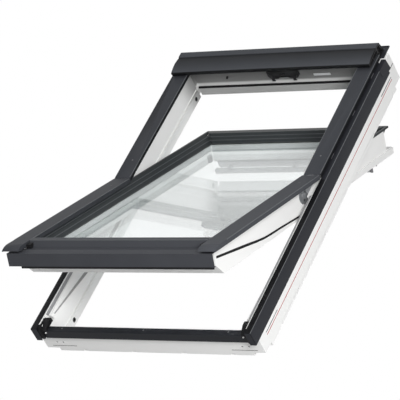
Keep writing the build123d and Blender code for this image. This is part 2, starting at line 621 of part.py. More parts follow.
# Sealed double glazing on a rubber bed
PANE_MID_V = (PANE_LOW_V + PANE_HIGH_V) / 2
PANE_LONG = PANE_HIGH_V - PANE_LOW_V
with BuildPart() as outer_pane:
    with BuildSketch(flat(SASH, PANE_TOP_N - PANE_T)):
        block(-PANE_X, PANE_X, PANE_LOW_V, PANE_HIGH_V)
    extrude(amount=PANE_T)
save(outer_pane.part, "outer_pane")
with BuildPart() as inner_pane:
    with BuildSketch(flat(SASH, PANE_TOP_N - 2 * PANE_T - SPACER_T)):
        block(-PANE_X, PANE_X, PANE_LOW_V, PANE_HIGH_V)
    extrude(amount=PANE_T)
save(inner_pane.part, "inner_pane")
with BuildPart() as pane_spacer:
    with BuildSketch(flat(SASH, PANE_TOP_N - PANE_T - SPACER_T)):
        with Locations((0, PANE_MID_V)):
            Rectangle(2 * PANE_X - 10, PANE_LONG - 10)
            Rectangle(2 * PANE_X - 24, PANE_LONG - 24, mode=Mode.SUBTRACT)
    extrude(amount=SPACER_T)
save(pane_spacer.part, "pane_spacer")
with BuildPart() as pane_edge_seal:
    with BuildSketch(flat(SASH, PANE_TOP_N - PANE_T - SPACER_T)):
        with Locations((0, PANE_MID_V)):
            Rectangle(2 * PANE_X, PANE_LONG)
            Rectangle(2 * PANE_X - 10, PANE_LONG - 10, mode=Mode.SUBTRACT)
    extrude(amount=SPACER_T)
save(pane_edge_seal.part, "pane_edge_seal")
with BuildPart() as glazing_bed:
    with BuildSketch(flat(SASH, REBATE_N)):
        with Locations((0, PANE_MID_V)):
            Rectangle(2 * PANE_X, PANE_LONG)
        with Locations((0, (GLASS_LOW_V + GLASS_HIGH_V) / 2)):
            Rectangle(2 * SASH_IN_X + 8, GLASS_HIGH_V - GLASS_LOW_V + 8, mode=Mode.SUBTRACT)
    extrude(amount=1)
save(glazing_bed.part, "glazing_bed")

# Bottom cover of the sash, its glazing trim and rubber strip
with BuildPart() as sash_bottom_cover:
    with BuildSketch(across(SASH, -SASH_COVER_X)):
        outline((SASH_LOW_V + 22, 0), (SASH_COVER_V, 0), (SASH_COVER_V, SASH_COVER_DROP),
                (SASH_COVER_V + 8, SASH_COVER_DROP), (SASH_COVER_V + 8, SASH_COVER_DROP + SHEET),
                (SASH_COVER_V + SHEET, SASH_COVER_DROP + SHEET), (SASH_COVER_V + SHEET, -SHEET),
                (SASH_LOW_V + 22, -SHEET))
    extrude(amount=2 * SASH_COVER_X)
    with BuildSketch(flat(SASH, -50)):
        for side in (-1, 1):
            block(side * LOW_TRIM_X, side * (SASH_COVER_X + 1), SASH_LOW_V - 1, SASH_LOW_V + 25)
    extrude(amount=60, mode=Mode.SUBTRACT)
save(sash_bottom_cover.part, "sash_bottom_cover")
with BuildPart() as sash_bottom_seal:
    with BuildSketch(across(SASH, -SASH_COVER_X + 44)):
        with Locations((SASH_COVER_V, SASH_COVER_DROP)):
            outline((1.5, 0), (2, -7), (5, -8), (7, -5), (8, 0))
    extrude(amount=2 * SASH_COVER_X - 50)
save(sash_bottom_seal.part, "sash_bottom_seal")
with BuildPart() as bottom_glazing_trim:
    with BuildSketch(across(SASH, -LOW_TRIM_X)):
        with Locations((SASH_LOW_V, 0)):
            outline((8, 0), (21, COVER_TOP), (41, COVER_TOP), (48, -26.7), (46.6, -26.7),
                    (40, COVER_TOP - SHEET), (21.8, COVER_TOP - SHEET), (9.5, 0))
    extrude(amount=2 * LOW_TRIM_X)
save(bottom_glazing_trim.part, "bottom_glazing_trim")

# Sloping glazing trims with mitred upper corners
for side, name in SIDES:
    with BuildPart() as side_trim:
        with BuildSketch(along(SASH, TRIM_HIGH_V)):
            outline(*mirrored(side, [
                (TRIM_X, SASH_TOP_N), (TRIM_X, TRIM_N), (TRIM_X - 7, TRIM_N), (TRIM_IN_X, -25.5),
                (TRIM_IN_X, -26.7), (TRIM_IN_X + 3, -26.7), (TRIM_X - 13, -6),
                (TRIM_X - 13, SASH_TOP_N)]))
        extrude(amount=TRIM_HIGH_V - TRIM_LOW_V)
        # mitre at the upper corner
        with BuildSketch(flat(SASH, -30)):
            outline((side * TRIM_IN_X, TRIM_MITRE_V), (side * (TRIM_X + 10), MITRE_END_V),
                    (side * (TRIM_IN_X - 13), MITRE_END_V), (side * (TRIM_IN_X - 13), TRIM_MITRE_V))
        extrude(amount=40, mode=Mode.SUBTRACT)
        # room for the hinge, and for the side member's step at the top
        with BuildSketch(flat(SASH, -30)):
            block(side * (SASH_X - 0.3), side * (TRIM_X + 2), PIVOT_V - 85, PIVOT_V + 61)
        extrude(amount=40, mode=Mode.SUBTRACT)
        with BuildSketch(flat(SASH, -30)):
            block(side * (TRIM_X - 14), side * (TRIM_X + 2), SASH_WALL_V + 0.3, TRIM_HIGH_V + 1)
        extrude(amount=31.5, mode=Mode.SUBTRACT)
    save(side_trim.part, "side_trim_" + name)
with BuildPart() as top_trim:
    with BuildSketch(across(SASH, -TRIM_X)):
        outline((TRIM_HIGH_V, 3.8), (TRIM_HIGH_V, TRIM_N), (TRIM_HIGH_V - 27, TRIM_N), (TRIM_MITRE_V, -25.5),
                (TRIM_MITRE_V, -26.7), (PANE_HIGH_V + 2.7, -26.7), (PANE_HIGH_V + 2.7, -19),
                (SASH_WALL_V, -19), (SASH_WALL_V, -16), (SASH_WALL_V - 4, -16), (TRIM_HIGH_V - 25.5, 3.8))
    extrude(amount=2 * TRIM_X)
    with BuildSketch(flat(SASH, -30)):
        for side in (-1, 1):
            outline((side * TRIM_IN_X, TRIM_MITRE_V), (side * (TRIM_X + 10), MITRE_END_V),
                    (side * (TRIM_X + 10), TRIM_MITRE_V - 9), (side * TRIM_IN_X, TRIM_MITRE_V - 9))
    extrude(amount=40, mode=Mode.SUBTRACT)
save(top_trim.part, "top_trim")

# Side seals of the sash: an S-line from the outer edge below to the lip above
low, high = SASH_LOW_V + 9, PIVOT_V + 9
with BuildPart() as side_seals:
    for side in (-1, 1):
        with BuildSketch(across(SASH, side * SASH_X)):
            with BuildLine():
                Spline((low, -26), (-398, -49), (-292, -65), (-190, -70), (-70, -76), (high, -83.5))
                Line((high, -83.5), (high, -87.5))
                Spline((high, -87.5), (-70, -81.5), (-190, -76), (-292, -72), (-401, -57), (low + 4, -34))
                Line((low + 4, -34), (low, -26))
            make_face()
        extrude(amount=side * 3.4)
save(side_seals.part, "side_seals")

# Small blind clips in the inner upper corners
with BuildPart() as blind_clips:
    for side in (-1, 1):
        with BuildSketch(across(SASH, side * SASH_IN_X)):
            with Locations((GLASS_HIGH_V - 25, -68)):
                outline((-12, 10), (12, 10), (12, -14), (0, -17), (-12, -14))
                Circle(4, mode=Mode.SUBTRACT)
        extrude(amount=-side * 4)
save(blind_clips.part, "blind_clips")

# Lock case on the ledge of the sash top, with the sliding latch
with BuildPart() as lock_case:
    with BuildSketch(across(SASH, -34)):
        with Locations((SASH_HIGH_V, 0)):
            outline((-34, SASH_LEDGE_N), (-3, SASH_LEDGE_N), (-3, -42), (-9, -38), (-34, -38))
    extrude(amount=68)
    with BuildSketch(along(SASH, SASH_HIGH_V - 2)):
        block(-8 - LATCH_TRAVEL_GAP, 8 + LATCH_TRAVEL_GAP, -60 - LATCH_TRAVEL_GAP, -50 + LATCH_TRAVEL_GAP)
    extrude(amount=28, mode=Mode.SUBTRACT)
save(lock_case.part, "lock_case")
with BuildPart() as latch:
    with BuildSketch(across(SASH, -8)):
        with Locations((SASH_HIGH_V, 0)):
            outline((-27, -60), (-4, -60), (-4, -56), (-8, -50), (-27, -50))
    extrude(amount=16)
save(latch.part, "latch")

# Guide of the sash bolt let into the left member, and the bolt with its stub
with BuildPart() as bolt_guide:
    with BuildSketch(across(SASH, -SASH_X)):
        block(BOLT_V - 11.9, BOLT_V + 11.9, SASH_ROOM, -75)
        with Locations((BOLT_V, BOLT_N)):
            Circle(BOLT_R + BOLT_CLEAR, mode=Mode.SUBTRACT)
    extrude(amount=34.9)
    with BuildSketch(flat(SASH, SASH_ROOM - 1)):
        block(BOLT_REST_X + 6.5, BOLT_REST_X + 25.5, BOLT_V - 2.2, BOLT_V + 2.2)
    extrude(amount=6, mode=Mode.SUBTRACT)
save(bolt_guide.part, "bolt_guide")
with BuildPart() as sash_bolt:
    with BuildSketch(across(SASH, BOLT_REST_X)):
        with Locations((BOLT_V, BOLT_N)):
            Circle(BOLT_R)
    extrude(amount=26)
    with BuildSketch(flat(SASH, -98)):
        block(BOLT_REST_X + 20.5, BOLT_REST_X + 24.5, BOLT_V - 2, BOLT_V + 2)
    extrude(amount=14)
save(sash_bolt.part, "sash_bolt")

# Ventilation flap on a pin held by three clips
with BuildPart() as flap_clips:
    for x in CLIP_PLACES:
        with BuildSketch(across(SASH, x - 6)):
            with Locations((FLAP_PIN_V, FLAP_PIN_N)):
                outline((-4, 4.4), (3.6, 4.4), (3.6, -2.1), (2.1, -3.8), (-2.4, -3.8), (-4, -2.1))
                Circle(FLAP_PIN_R + PIN_CLEAR, mode=Mode.SUBTRACT)
        extrude(amount=12)
save(flap_clips.part, "flap_clips")
with BuildPart() as vent_flap:
    with BuildSketch(across(SASH, -FLAP_X)):
        with Locations((FLAP_EDGE_V, 0)):
            outline((FLAP_PIN_V - FLAP_EDGE_V, -90.1), (0, -90.1), (4, -106), (14, -118), (28, -112),
                    (40, -101), (44, -94.5), (FLAP_PIN_V - FLAP_EDGE_V, -94.5))
    extrude(amount=2 * FLAP_X)
    with BuildSketch(across(SASH, -FLAP_X + 3)):
        with Locations((FLAP_EDGE_V, 0)):
            outline((37, -93), (4, -93), (8, -105), (15, -114), (26, -109.5), (36, -100))
    extrude(amount=2 * FLAP_X - 6, mode=Mode.SUBTRACT)
    with BuildSketch(flat(SASH, -120)):
        for x in CLIP_PLACES:
            block(x - 6.5, x + 6.5, FLAP_PIN_V - 8.4, FLAP_PIN_V + 5)
    extrude(amount=31, mode=Mode.SUBTRACT)
    with BuildSketch(across(SASH, -FLAP_X)):
        with Locations((FLAP_PIN_V, FLAP_PIN_N)):
            Circle(FLAP_PIN_R)
    extrude(amount=2 * FLAP_X)
save(vent_flap.part, "vent_flap")

# Control bar along the flap, on three arms, with end caps on bar and flap
bar = FLAP_EDGE_V - 12
with BuildPart() as bar_arms:
    for x in ARM_PLACES:
        with BuildSketch(across(SASH, x - 5)):
            with Locations((FLAP_EDGE_V, 0)):
                outline((4, -106), (-12, -113), (-12, -125), (14, -118))
        extrude(amount=10)
save(bar_arms.part, "bar_arms")
with BuildPart() as control_bar:
    with BuildSketch(across(SASH, -BAR_X)):
        with BuildLine():
            Line((bar, -111), (bar, -129))
            ThreePointArc((bar, -129), (bar - 11, -125), (bar - 13, -111))
            Line((bar - 13, -111), (bar, -111))
        make_face()
    extrude(amount=2 * BAR_X)
save(control_bar.part, "control_bar")
with BuildPart() as end_caps:
    for side in (-1, 1):
        with BuildSketch(across(SASH, side * BAR_X)):
            with BuildLine():
                Line((bar + 1, -110), (bar + 1, -130.2))
                ThreePointArc((bar + 1, -130.2), (bar - 12, -125.8), (bar - 14, -110))
                Line((bar - 14, -110), (bar + 1, -110))
            make_face()
        extrude(amount=side * 4)
        with BuildSketch(across(SASH, side * FLAP_X)):
            with Locations((FLAP_EDGE_V, 0)):
                outline((-0.5, -90.1), (3.4, -106.2), (14, -119), (29, -112.5), (41, -101), (45, -90.1))
        extrude(amount=side * 3)
save(end_caps.part, "end_caps")
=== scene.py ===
import math

import bmesh
import bpy
import numpy as np
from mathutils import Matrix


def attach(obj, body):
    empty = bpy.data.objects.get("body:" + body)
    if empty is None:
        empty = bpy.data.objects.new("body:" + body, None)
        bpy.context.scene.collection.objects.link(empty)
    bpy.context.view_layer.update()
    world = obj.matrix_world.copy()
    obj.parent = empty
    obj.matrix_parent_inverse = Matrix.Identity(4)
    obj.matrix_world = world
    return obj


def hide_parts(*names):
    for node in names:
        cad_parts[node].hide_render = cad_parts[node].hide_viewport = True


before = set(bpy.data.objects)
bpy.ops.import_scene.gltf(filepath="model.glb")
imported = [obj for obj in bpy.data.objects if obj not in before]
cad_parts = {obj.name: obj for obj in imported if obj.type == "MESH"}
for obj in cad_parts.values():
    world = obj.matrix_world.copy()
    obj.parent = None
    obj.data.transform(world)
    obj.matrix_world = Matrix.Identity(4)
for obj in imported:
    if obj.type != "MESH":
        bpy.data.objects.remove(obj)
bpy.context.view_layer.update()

# Camera: a long lens held almost level, from the lower right of the open window, fitted to the
# corners of the real frame and sash. Places are in metres, and angles in degrees.
camera_place = (4.1416, -6.1670, 0.3677)
camera_angles = (90.36, 0.456, 32.68)
camera_data = bpy.data.cameras.new("camera")
camera_data.sensor_width = 36.0
camera_data.lens = 225.64
camera_data.clip_end = 60.0
camera = bpy.data.objects.new("camera", camera_data)
camera.location = camera_place
camera.rotation_euler = [math.radians(angle) for angle in camera_angles]
bpy.context.scene.collection.objects.link(camera)
bpy.context.scene.camera = camera


# Frame members: pine core, moulded all round in white plastic and lacquered, screwed at the
# corners. The lower half of both side members is recessed inside, above a sloping ledge, to let
# the sash swing; a grey strip laid on the ledge is painted shade. Sizes are mm: x across, v up
# the slope, n outward.
half_width = 388.8
half_height = 588.0
half_depth = 62.0
opening_x = half_width - 43.8
recess_low_v, recess_high_v = -547.0, -44.0
recess_top_n = -6.0
ledge_low_v, ledge_length = -575.0, 385.0
ledge_low_n, ledge_drop = -8.0, 68.5
recess_wall_x, recess_widening = 348.0, 11.5
member_edge = 0.0008


def new_finish(name, roughness, metallic=0.0, specular=0.5):
    """A material with one Principled shader, its node tree and its object coordinates."""
    finish = bpy.data.materials.new(name)
    finish.use_nodes = True
    tree = finish.node_tree
    shader = tree.nodes["Principled BSDF"]
    shader.inputs["Roughness"].default_value = roughness
    shader.inputs["Metallic"].default_value = metallic
    shader.inputs["Specular IOR Level"].default_value = specular
    where = tree.nodes.new("ShaderNodeTexCoord")
    return finish, tree, shader, where.outputs["Object"]


def new_group(name, given, put):
    """An empty node group with those inputs and outputs, each a (label, kind of socket)."""
    group = bpy.data.node_groups.new(name, "ShaderNodeTree")
    for sockets, way in ((given, "INPUT"), (put, "OUTPUT")):
        for label, kind in sockets:
            group.interface.new_socket(name=label, in_out=way, socket_type="NodeSocket" + kind)
    return group, group.nodes.new("NodeGroupInput"), group.nodes.new("NodeGroupOutput")


def speckle_group():
    """Mottling that the finishes share: a broad cloud in the colour, a fine grain in the gloss.

    Colour = Base mixed towards Worn by cloud times Blotch; Roughness = Roughness + (grain
    minus a half) times Spread; Normal is a bump of the grain.
    """
    group, given, put = new_group(
        "speckle",
        (("Vector", "Vector"), ("Base", "Color"), ("Worn", "Color"), ("Blotch", "Float"),
         ("Cloud Scale", "Float"), ("Grain Scale", "Float"), ("Roughness", "Float"),
         ("Spread", "Float"), ("Depth", "Float")),
        (("Color", "Color"), ("Roughness", "Float"), ("Normal", "Vector")))
    nodes, link = group.nodes, group.links.new
    cloud, grain = nodes.new("ShaderNodeTexNoise"), nodes.new("ShaderNodeTexNoise")
    cloud.inputs["Detail"].default_value = 4.0
    grain.inputs["Detail"].default_value = 3.0
    link(given.outputs["Vector"], cloud.inputs["Vector"])
    link(given.outputs["Vector"], grain.inputs["Vector"])
    link(given.outputs["Cloud Scale"], cloud.inputs["Scale"])
    link(given.outputs["Grain Scale"], grain.inputs["Scale"])
    share = nodes.new("ShaderNodeMath")
    share.operation = "MULTIPLY"
    link(cloud.outputs["Fac"], share.inputs[0])
    link(given.outputs["Blotch"], share.inputs[1])
    mix = nodes.new("ShaderNodeMix")
    mix.data_type = "RGBA"
    link(share.outputs[0], mix.inputs["Factor"])
    link(given.outputs["Base"], mix.inputs["A"])
    link(given.outputs["Worn"], mix.inputs["B"])
    link(mix.outputs["Result"], put.inputs["Color"])
    centred = nodes.new("ShaderNodeMath")
    centred.operation = "SUBTRACT"
    centred.inputs[1].default_value = 0.5
    link(grain.outputs["Fac"], centred.inputs[0])
    rough = nodes.new("ShaderNodeMath")
    rough.operation = "MULTIPLY_ADD"
    link(centred.outputs[0], rough.inputs[0])
    link(given.outputs["Spread"], rough.inputs[1])
    link(given.outputs["Roughness"], rough.inputs[2])
    link(rough.outputs[0], put.inputs["Roughness"])
    bump = nodes.new("ShaderNodeBump")
    bump.inputs["Distance"].default_value = 0.0002
    link(given.outputs["Depth"], bump.inputs["Strength"])
    link(grain.outputs["Fac"], bump.inputs["Height"])
    link(bump.outputs["Normal"], put.inputs["Normal"])
    return group


def fade_group():
    """Place of a point along a direction, shared by the finishes that have shade painted in along it.

    Along = the point's dot product with Way, read from Low (0) to High (1); Inside is 1 where
    the size of x is under Half Width, and 0 elsewhere.
    """
    group, given, put = new_group(
        "fade", (("Vector", "Vector"), ("Way", "Vector"), ("Low", "Float"), ("High", "Float"),
                 ("Half Width", "Float")), (("Along", "Float"), ("Inside", "Float")))
    nodes, link = group.nodes, group.links.new
    along = nodes.new("ShaderNodeVectorMath")
    along.operation = "DOT_PRODUCT"
    link(given.outputs["Vector"], along.inputs[0])
    link(given.outputs["Way"], along.inputs[1])
    span = nodes.new("ShaderNodeMapRange")
    link(along.outputs["Value"], span.inputs["Value"])
    link(given.outputs["Low"], span.inputs["From Min"])
    link(given.outputs["High"], span.inputs["From Max"])
    link(span.outputs["Result"], put.inputs["Along"])
    apart, size, inside = (nodes.new("ShaderNode" + kind) for kind in ("SeparateXYZ", "Math", "Math"))
    size.operation = "ABSOLUTE"
    inside.operation = "LESS_THAN"
    link(given.outputs["Vector"], apart.inputs[0])
    link(apart.outputs["X"], size.inputs[0])
    link(size.outputs[0], inside.inputs[0])
    link(given.outputs["Half Width"], inside.inputs[1])
    link(inside.outputs[0], put.inputs["Inside"])
    return group


speckle = speckle_group()
fade_place = fade_group()
up_slope, outward = (0, 1, 1), (0, -1, 1)


def speckled(name, base, worn, roughness, cloud=6.0, grain=900.0, spread=0.1, depth=0.2,
             metallic=0.0, specular=0.5):
    """A finish whose colour, gloss and surface vary by the shared speckle group."""
    finish, tree, shader, where = new_finish(name, roughness, metallic, specular)
    use = tree.nodes.new("ShaderNodeGroup")
    use.node_tree = speckle
    for label, value in (("Base", (*base, 1.0)), ("Worn", (*worn, 1.0)), ("Blotch", 1.0),
                         ("Cloud Scale", cloud), ("Grain Scale", grain),
                         ("Roughness", roughness), ("Spread", spread), ("Depth", depth)):
        use.inputs[label].default_value = value
    tree.links.new(where, use.inputs["Vector"])
    tree.links.new(use.outputs["Color"], shader.inputs["Base Color"])
    tree.links.new(use.outputs["Roughness"], shader.inputs["Roughness"])
    tree.links.new(use.outputs["Normal"], shader.inputs["Normal"])
    return finish


def fade(finish, way, low, high, stops, half_width=10.0):
    """Paints shade into a finish along a direction: its base colour times the tone that a ramp of
    (place, tone) stops gives from low to high, where |x| is under half_width. Lengths are in
    metres, and the half width of 10 takes in the whole window."""
    tree = finish.node_tree
    shader = tree.nodes["Principled BSDF"]
    use = tree.nodes.new("ShaderNodeGroup")
    use.node_tree = fade_place
    for label, value in (("Way", way), ("Low", low), ("High", high), ("Half Width", half_width)):
        use.inputs[label].default_value = value
    ramp = tree.nodes.new("ShaderNodeValToRGB")
    for place, tone in stops[1:-1]:
        ramp.color_ramp.elements.new(place)
    for element, (place, tone) in zip(ramp.color_ramp.elements, stops):
        element.position = place
        element.color = (tone, tone, tone, 1.0)
    gloom = tree.nodes.new("ShaderNodeMix")
    gloom.data_type = "RGBA"
    gloom.blend_type = "MULTIPLY"
    painted = shader.inputs["Base Color"].links[0].from_socket
    tree.links.new(tree.nodes["Texture Coordinate"].outputs["Object"], use.inputs["Vector"])
    tree.links.new(use.outputs["Along"], ramp.inputs["Fac"])
    tree.links.new(use.outputs["Inside"], gloom.inputs["Factor"])
    tree.links.new(painted, gloom.inputs["A"])
    tree.links.new(ramp.outputs["Color"], gloom.inputs["B"])
    tree.links.new(gloom.outputs["Result"], shader.inputs["Base Color"])


def weld_corners(piece):
    """Joins the split corners of a solid that came from the CAD."""
    weld = piece.modifiers.new("weld", "WELD")
    weld.merge_threshold = 0.00002


def soften(piece, edge):
    """Joins the split corners of a folded or moulded solid and rounds them, edge in metres."""
    weld_corners(piece)
    bevel = piece.modifiers.new("bevel", "BEVEL")
    bevel.width = edge
    bevel.segments = 2
    bevel.limit_method = "ANGLE"
    bevel.angle_limit = math.radians(28)
    bevel.harden_normals = True


def dress(nodes, finish, edge=0.0):
    """Gives CAD nodes a finish and, where edge is given, rounded edges."""
    for node in nodes:
        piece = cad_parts[node]
        piece.data.materials.clear()
        piece.data.materials.append(finish)
        if edge:
            soften(piece, edge)


def on_frame(x, v, n):
    """Points of the frame in metres, from mm across, up the slope and outward.

    The frame leans back by 45 degrees: y = (v' - n') / root 2 and z = (v' + n') / root 2, with
    v' and n' counted from the foot of the frame.
    """
    x, up, out = np.broadcast_arrays(x, np.add(v, half_height), np.add(n, half_depth))
    return np.stack([x, (up - out) * math.sqrt(0.5), (up + out) * math.sqrt(0.5)], -1) / 1000


def skin(parts):
    """One mesh from closed tubes: each part is an array of rings, of points, of x y z.

    Each ring is joined to the next by four-sided faces, and the first and last are closed.
    """
    corners, faces, base = [], [], 0
    for rings in parts:
        rows, round_ = rings.shape[:2]
        index = base + np.arange(rows * round_).reshape(rows, round_)
        first, second = index[:-1], index[1:]
        quads = np.stack([first, np.roll(first, -1, 1), np.roll(second, -1, 1), second], -1)
        faces += quads.reshape(-1, 4).tolist() + [index[0][::-1].tolist(), index[-1].tolist()]
        corners.append(rings.reshape(-1, 3))
        base += rows * round_
    mesh = bpy.data.meshes.new("skin")
    mesh.from_pydata(np.concatenate(corners).tolist(), [], faces)
    shell = bmesh.new()
    shell.from_mesh(mesh)
    bmesh.ops.recalc_face_normals(shell, faces=shell.faces)
    shell.to_mesh(mesh)
    shell.free()
    return mesh


def linked(name, mesh):
    """A new object of that mesh, in the scene."""
    made = bpy.data.objects.new(name, mesh)
    bpy.context.scene.collection.objects.link(made)
    return made


def settle(name, mesh, finish, body, stands_for=(), sharp=35):
    """Puts a finished mesh into the scene as a piece that rides on a body."""
    mesh.name = name
    mesh.materials.clear()
    mesh.materials.append(finish)
    mesh.shade_smooth()
    mesh.set_sharp_from_angle(angle=math.radians(sharp))
    piece = linked(name, mesh)
    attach(piece, body)
    if stands_for:
        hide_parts(*stands_for)
    return piece


def both(parts):
    """The parts as given and mirrored to the other side."""
    return list(parts) + [rings * (-1, 1, 1) for rings in parts]


def ledge(v):
    """Height n of the ledge and x of the recess's wall at v: n falls in a straight line over the
    ledge's length, and the wall moves out in a straight line 1.4 times as fast, to its end."""
    s = np.clip((v - ledge_low_v) / ledge_length, 0, 1)
    return ledge_low_n - ledge_drop * s, recess_wall_x + recess_widening * np.clip(1.4 * s, 0, 1)


lacquer = dict(cloud=3.0, grain=420.0, depth=0.10, specular=0.35)
white = speckled("white_lacquer", (0.84, 0.84, 0.832), (0.80, 0.80, 0.79), 0.42, **lacquer)
# The side members' lacquer has painted shade: their inner faces darken up the slope towards the top
# corners, under the hood.
side_white = speckled("side_lacquer_painted_shade", (0.84, 0.84, 0.832), (0.80, 0.80, 0.79), 0.42, **lacquer)
corner_shade = ((0, 1.0), (0.25, 0.9), (0.7, 0.42), (1, 0.25))
fade(side_white, up_slope, 1.45, 1.62, corner_shade, half_width=0.352)
# The top member's lacquer has the hood's shadow painted in: dark just under the hood, a lighter band
# below it, half tone on the room side.
shaded_white = speckled("hood_shadow_lacquer", (0.84, 0.84, 0.832), (0.76, 0.76, 0.75), 0.45, cloud=5.0,
                        grain=420.0, depth=0.15, specular=0.3)
hood_shade = ((0, 0.49), (0.39, 0.50), (0.42, 0.76), (0.53, 0.76), (0.60, 0.23), (1, 0.17))
fade(shaded_white, outward, -0.09, 0.05, hood_shade, half_width=0.352)
dress(["frame_bottom_member"], white, member_edge)
dress(["frame_top_member"], shaded_white, member_edge)
recess_v = np.linspace(recess_low_v, recess_high_v, 60)[:, None]
ledge_n, wall = ledge(recess_v)
level = np.zeros_like(recess_v)
recess_x = np.concatenate([level + opening_x - 5, level + opening_x, wall, wall,
                           level + opening_x - 5], 1)
recess_n = np.concatenate([ledge_n, ledge_n, ledge_n, level + recess_top_n, level + recess_top_n], 1)
recess = on_frame(recess_x, recess_v, recess_n)
for side, name in ((-1, "left"), (1, "right")):
    cutter = linked("cutter", skin([recess * (side, 1, 1)]))
    member = linked("member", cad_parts["frame_" + name + "_member"].data.copy())
    weld_corners(member)
    cut = member.modifiers.new("recess", "BOOLEAN")
    cut.operation = "DIFFERENCE"
    cut.solver = "EXACT"
    cut.object = cutter
    finished = member.evaluated_get(bpy.context.evaluated_depsgraph_get())
    cut_mesh = bpy.data.meshes.new_from_object(finished)
    bpy.data.objects.remove(member)
    bpy.data.objects.remove(cutter)
    recessed = settle("recessed_" + name + "_member", cut_mesh, side_white, "frame",
                      ["frame_" + name + "_member"], sharp=20)
    soften(recessed, member_edge)
# The grey strip on the ledge is painted shade: it darkens the ledge's top face, which lies in shade.
ledge_shade_grey = speckled("ledge_painted_shade", (0.40, 0.40, 0.40), (0.34, 0.34, 0.34), 0.7, specular=0.2)
strip_in_x, strip_out_x = level + opening_x + 0.4, wall - 0.3
strip_x = np.concatenate([strip_in_x, strip_in_x, strip_out_x, strip_out_x], 1)
strips = on_frame(strip_x, recess_v, ledge_n + np.array([0.1, 1.4, 1.4, 0.1]))
settle("ledge_shade_strips", skin(both([strips[2:-1]])), ledge_shade_grey, "frame")

# Saw cuts for the fixing brackets: 2 mm wide, sawn into the outer faces of the side members and
# into the front of the bottom member. Each is drawn as a near-black strip set in the face, painted
# shade for the dark inside of the cut.
cut_painted_shade = speckled("cut_painted_shade", (0.03, 0.03, 0.032), (0.05, 0.05, 0.05), 0.8, specular=0.2)
cut_length = 89.0
cut_x = half_width + np.array([-2.8, 0.5, 0.5, -2.8])
cut_v = -half_height + np.array([-0.2, -0.2, 2.0, 2.0])
cut_n = np.array([-1.0, -1.0, 1.0, 1.0])
side_cuts = ((-544, -544 + cut_length, -64), (544 - cut_length, 544, -64), (554, 586, -42))
cuts = both([on_frame(cut_x, np.array([[v0], [v1]]), n + cut_n) for v0, v1, n in side_cuts])
cuts += [on_frame(np.array([[x0], [x0 + cut_length]]), cut_v, -95 + cut_n) for x0 in (-365, 276)]
settle("bracket_cut_strips", skin(cuts), cut_painted_shade, "frame")

# Depth marks: a red plastic thread along both outer faces, pressed into a sawn groove, that
# shows the roofer how deep the frame has to sit.
red = speckled("red_line", (0.42, 0.016, 0.014), (0.34, 0.02, 0.018), 0.6, specular=0.2)
thread_end, thread_n = 544.5, -73.0
thread_x = half_width + np.array([-0.9, 0, 0.25, 0.25, 0, -0.9])
across_thread = thread_n + np.array([-1.3, -1.3, -0.9, 0.9, 1.3, 1.3])
thread = on_frame(thread_x, np.array([[-thread_end], [thread_end]]), across_thread)
settle("depth_threads", skin(both([thread])), red, "frame", ["depth_lines"])

# Side claddings: aluminium sheet, folded and coated dark grey, screwed on, with a rolled outer
# edge. A thin near-black pad lies on the top face of their lower half and makes it darker than
# the side; the rolled edges are painted lighter, as painted highlights. Small folded corner
# pieces cap their upper ends, and the back plate covers the top member.
cladding_in_x, cladding_out_x = 369.4, 390.0
cladding_low_v, cladding_high_v = -609.0, 541.0
cladding_drop, sheet = -50.0, 1.2


def rounded(points, radius, steps=4):
    """Closed outline with each corner replaced by the curve (1-s)^2 A + 2s(1-s) P + s^2 B
    between points A and B that lie radius (or 0.45 of the side) away from the corner P."""
    points = np.asarray(points, float)
    before, after = np.roll(points, 1, 0) - points, np.roll(points, -1, 0) - points
    long_before = np.linalg.norm(before, axis=1, keepdims=True)
    long_after = np.linalg.norm(after, axis=1, keepdims=True)
    start = points + before / long_before * np.minimum(radius, 0.45 * long_before)
    stop = points + after / long_after * np.minimum(radius, 0.45 * long_after)
    s = np.linspace(0, 1, steps)[None, :, None]
    curve = (1 - s) ** 2 * start[:, None] + 2 * s * (1 - s) * points[:, None] + s ** 2 * stop[:, None]
    return curve.reshape(-1, 2)


def carried_v(place, points, stations):
    """An outline of (x, n) carried up the slope through the v stations."""
    return place(points[None, :, 0], np.asarray(stations, float)[:, None], points[None, :, 1])


def coat(name, base, roughness):
    """Baked powder coat: a fine hammered grain over a dark tone, little shine."""
    lighter = tuple(1.25 * value for value in base)
    return speckled(name, base, lighter, roughness, cloud=9.0, grain=1500.0, spread=0.18,
                    depth=0.35, specular=0.08)


turn = np.linspace(0, 2 * math.pi, 13)[:-1]


def edge_along(place, x, n, v0, v1, radius):
    """Rolled edge of a sheet: a circle of that radius about (x, n), carried from v0 to v1."""
    return place(x + radius * np.cos(turn), np.array([[v0], [v1]]), n + radius * np.sin(turn))


plate_coat = coat("dark_coating", (0.026, 0.0275, 0.032), 0.5)
cladding_coat = coat("black_coating", (0.018, 0.019, 0.023), 0.45)
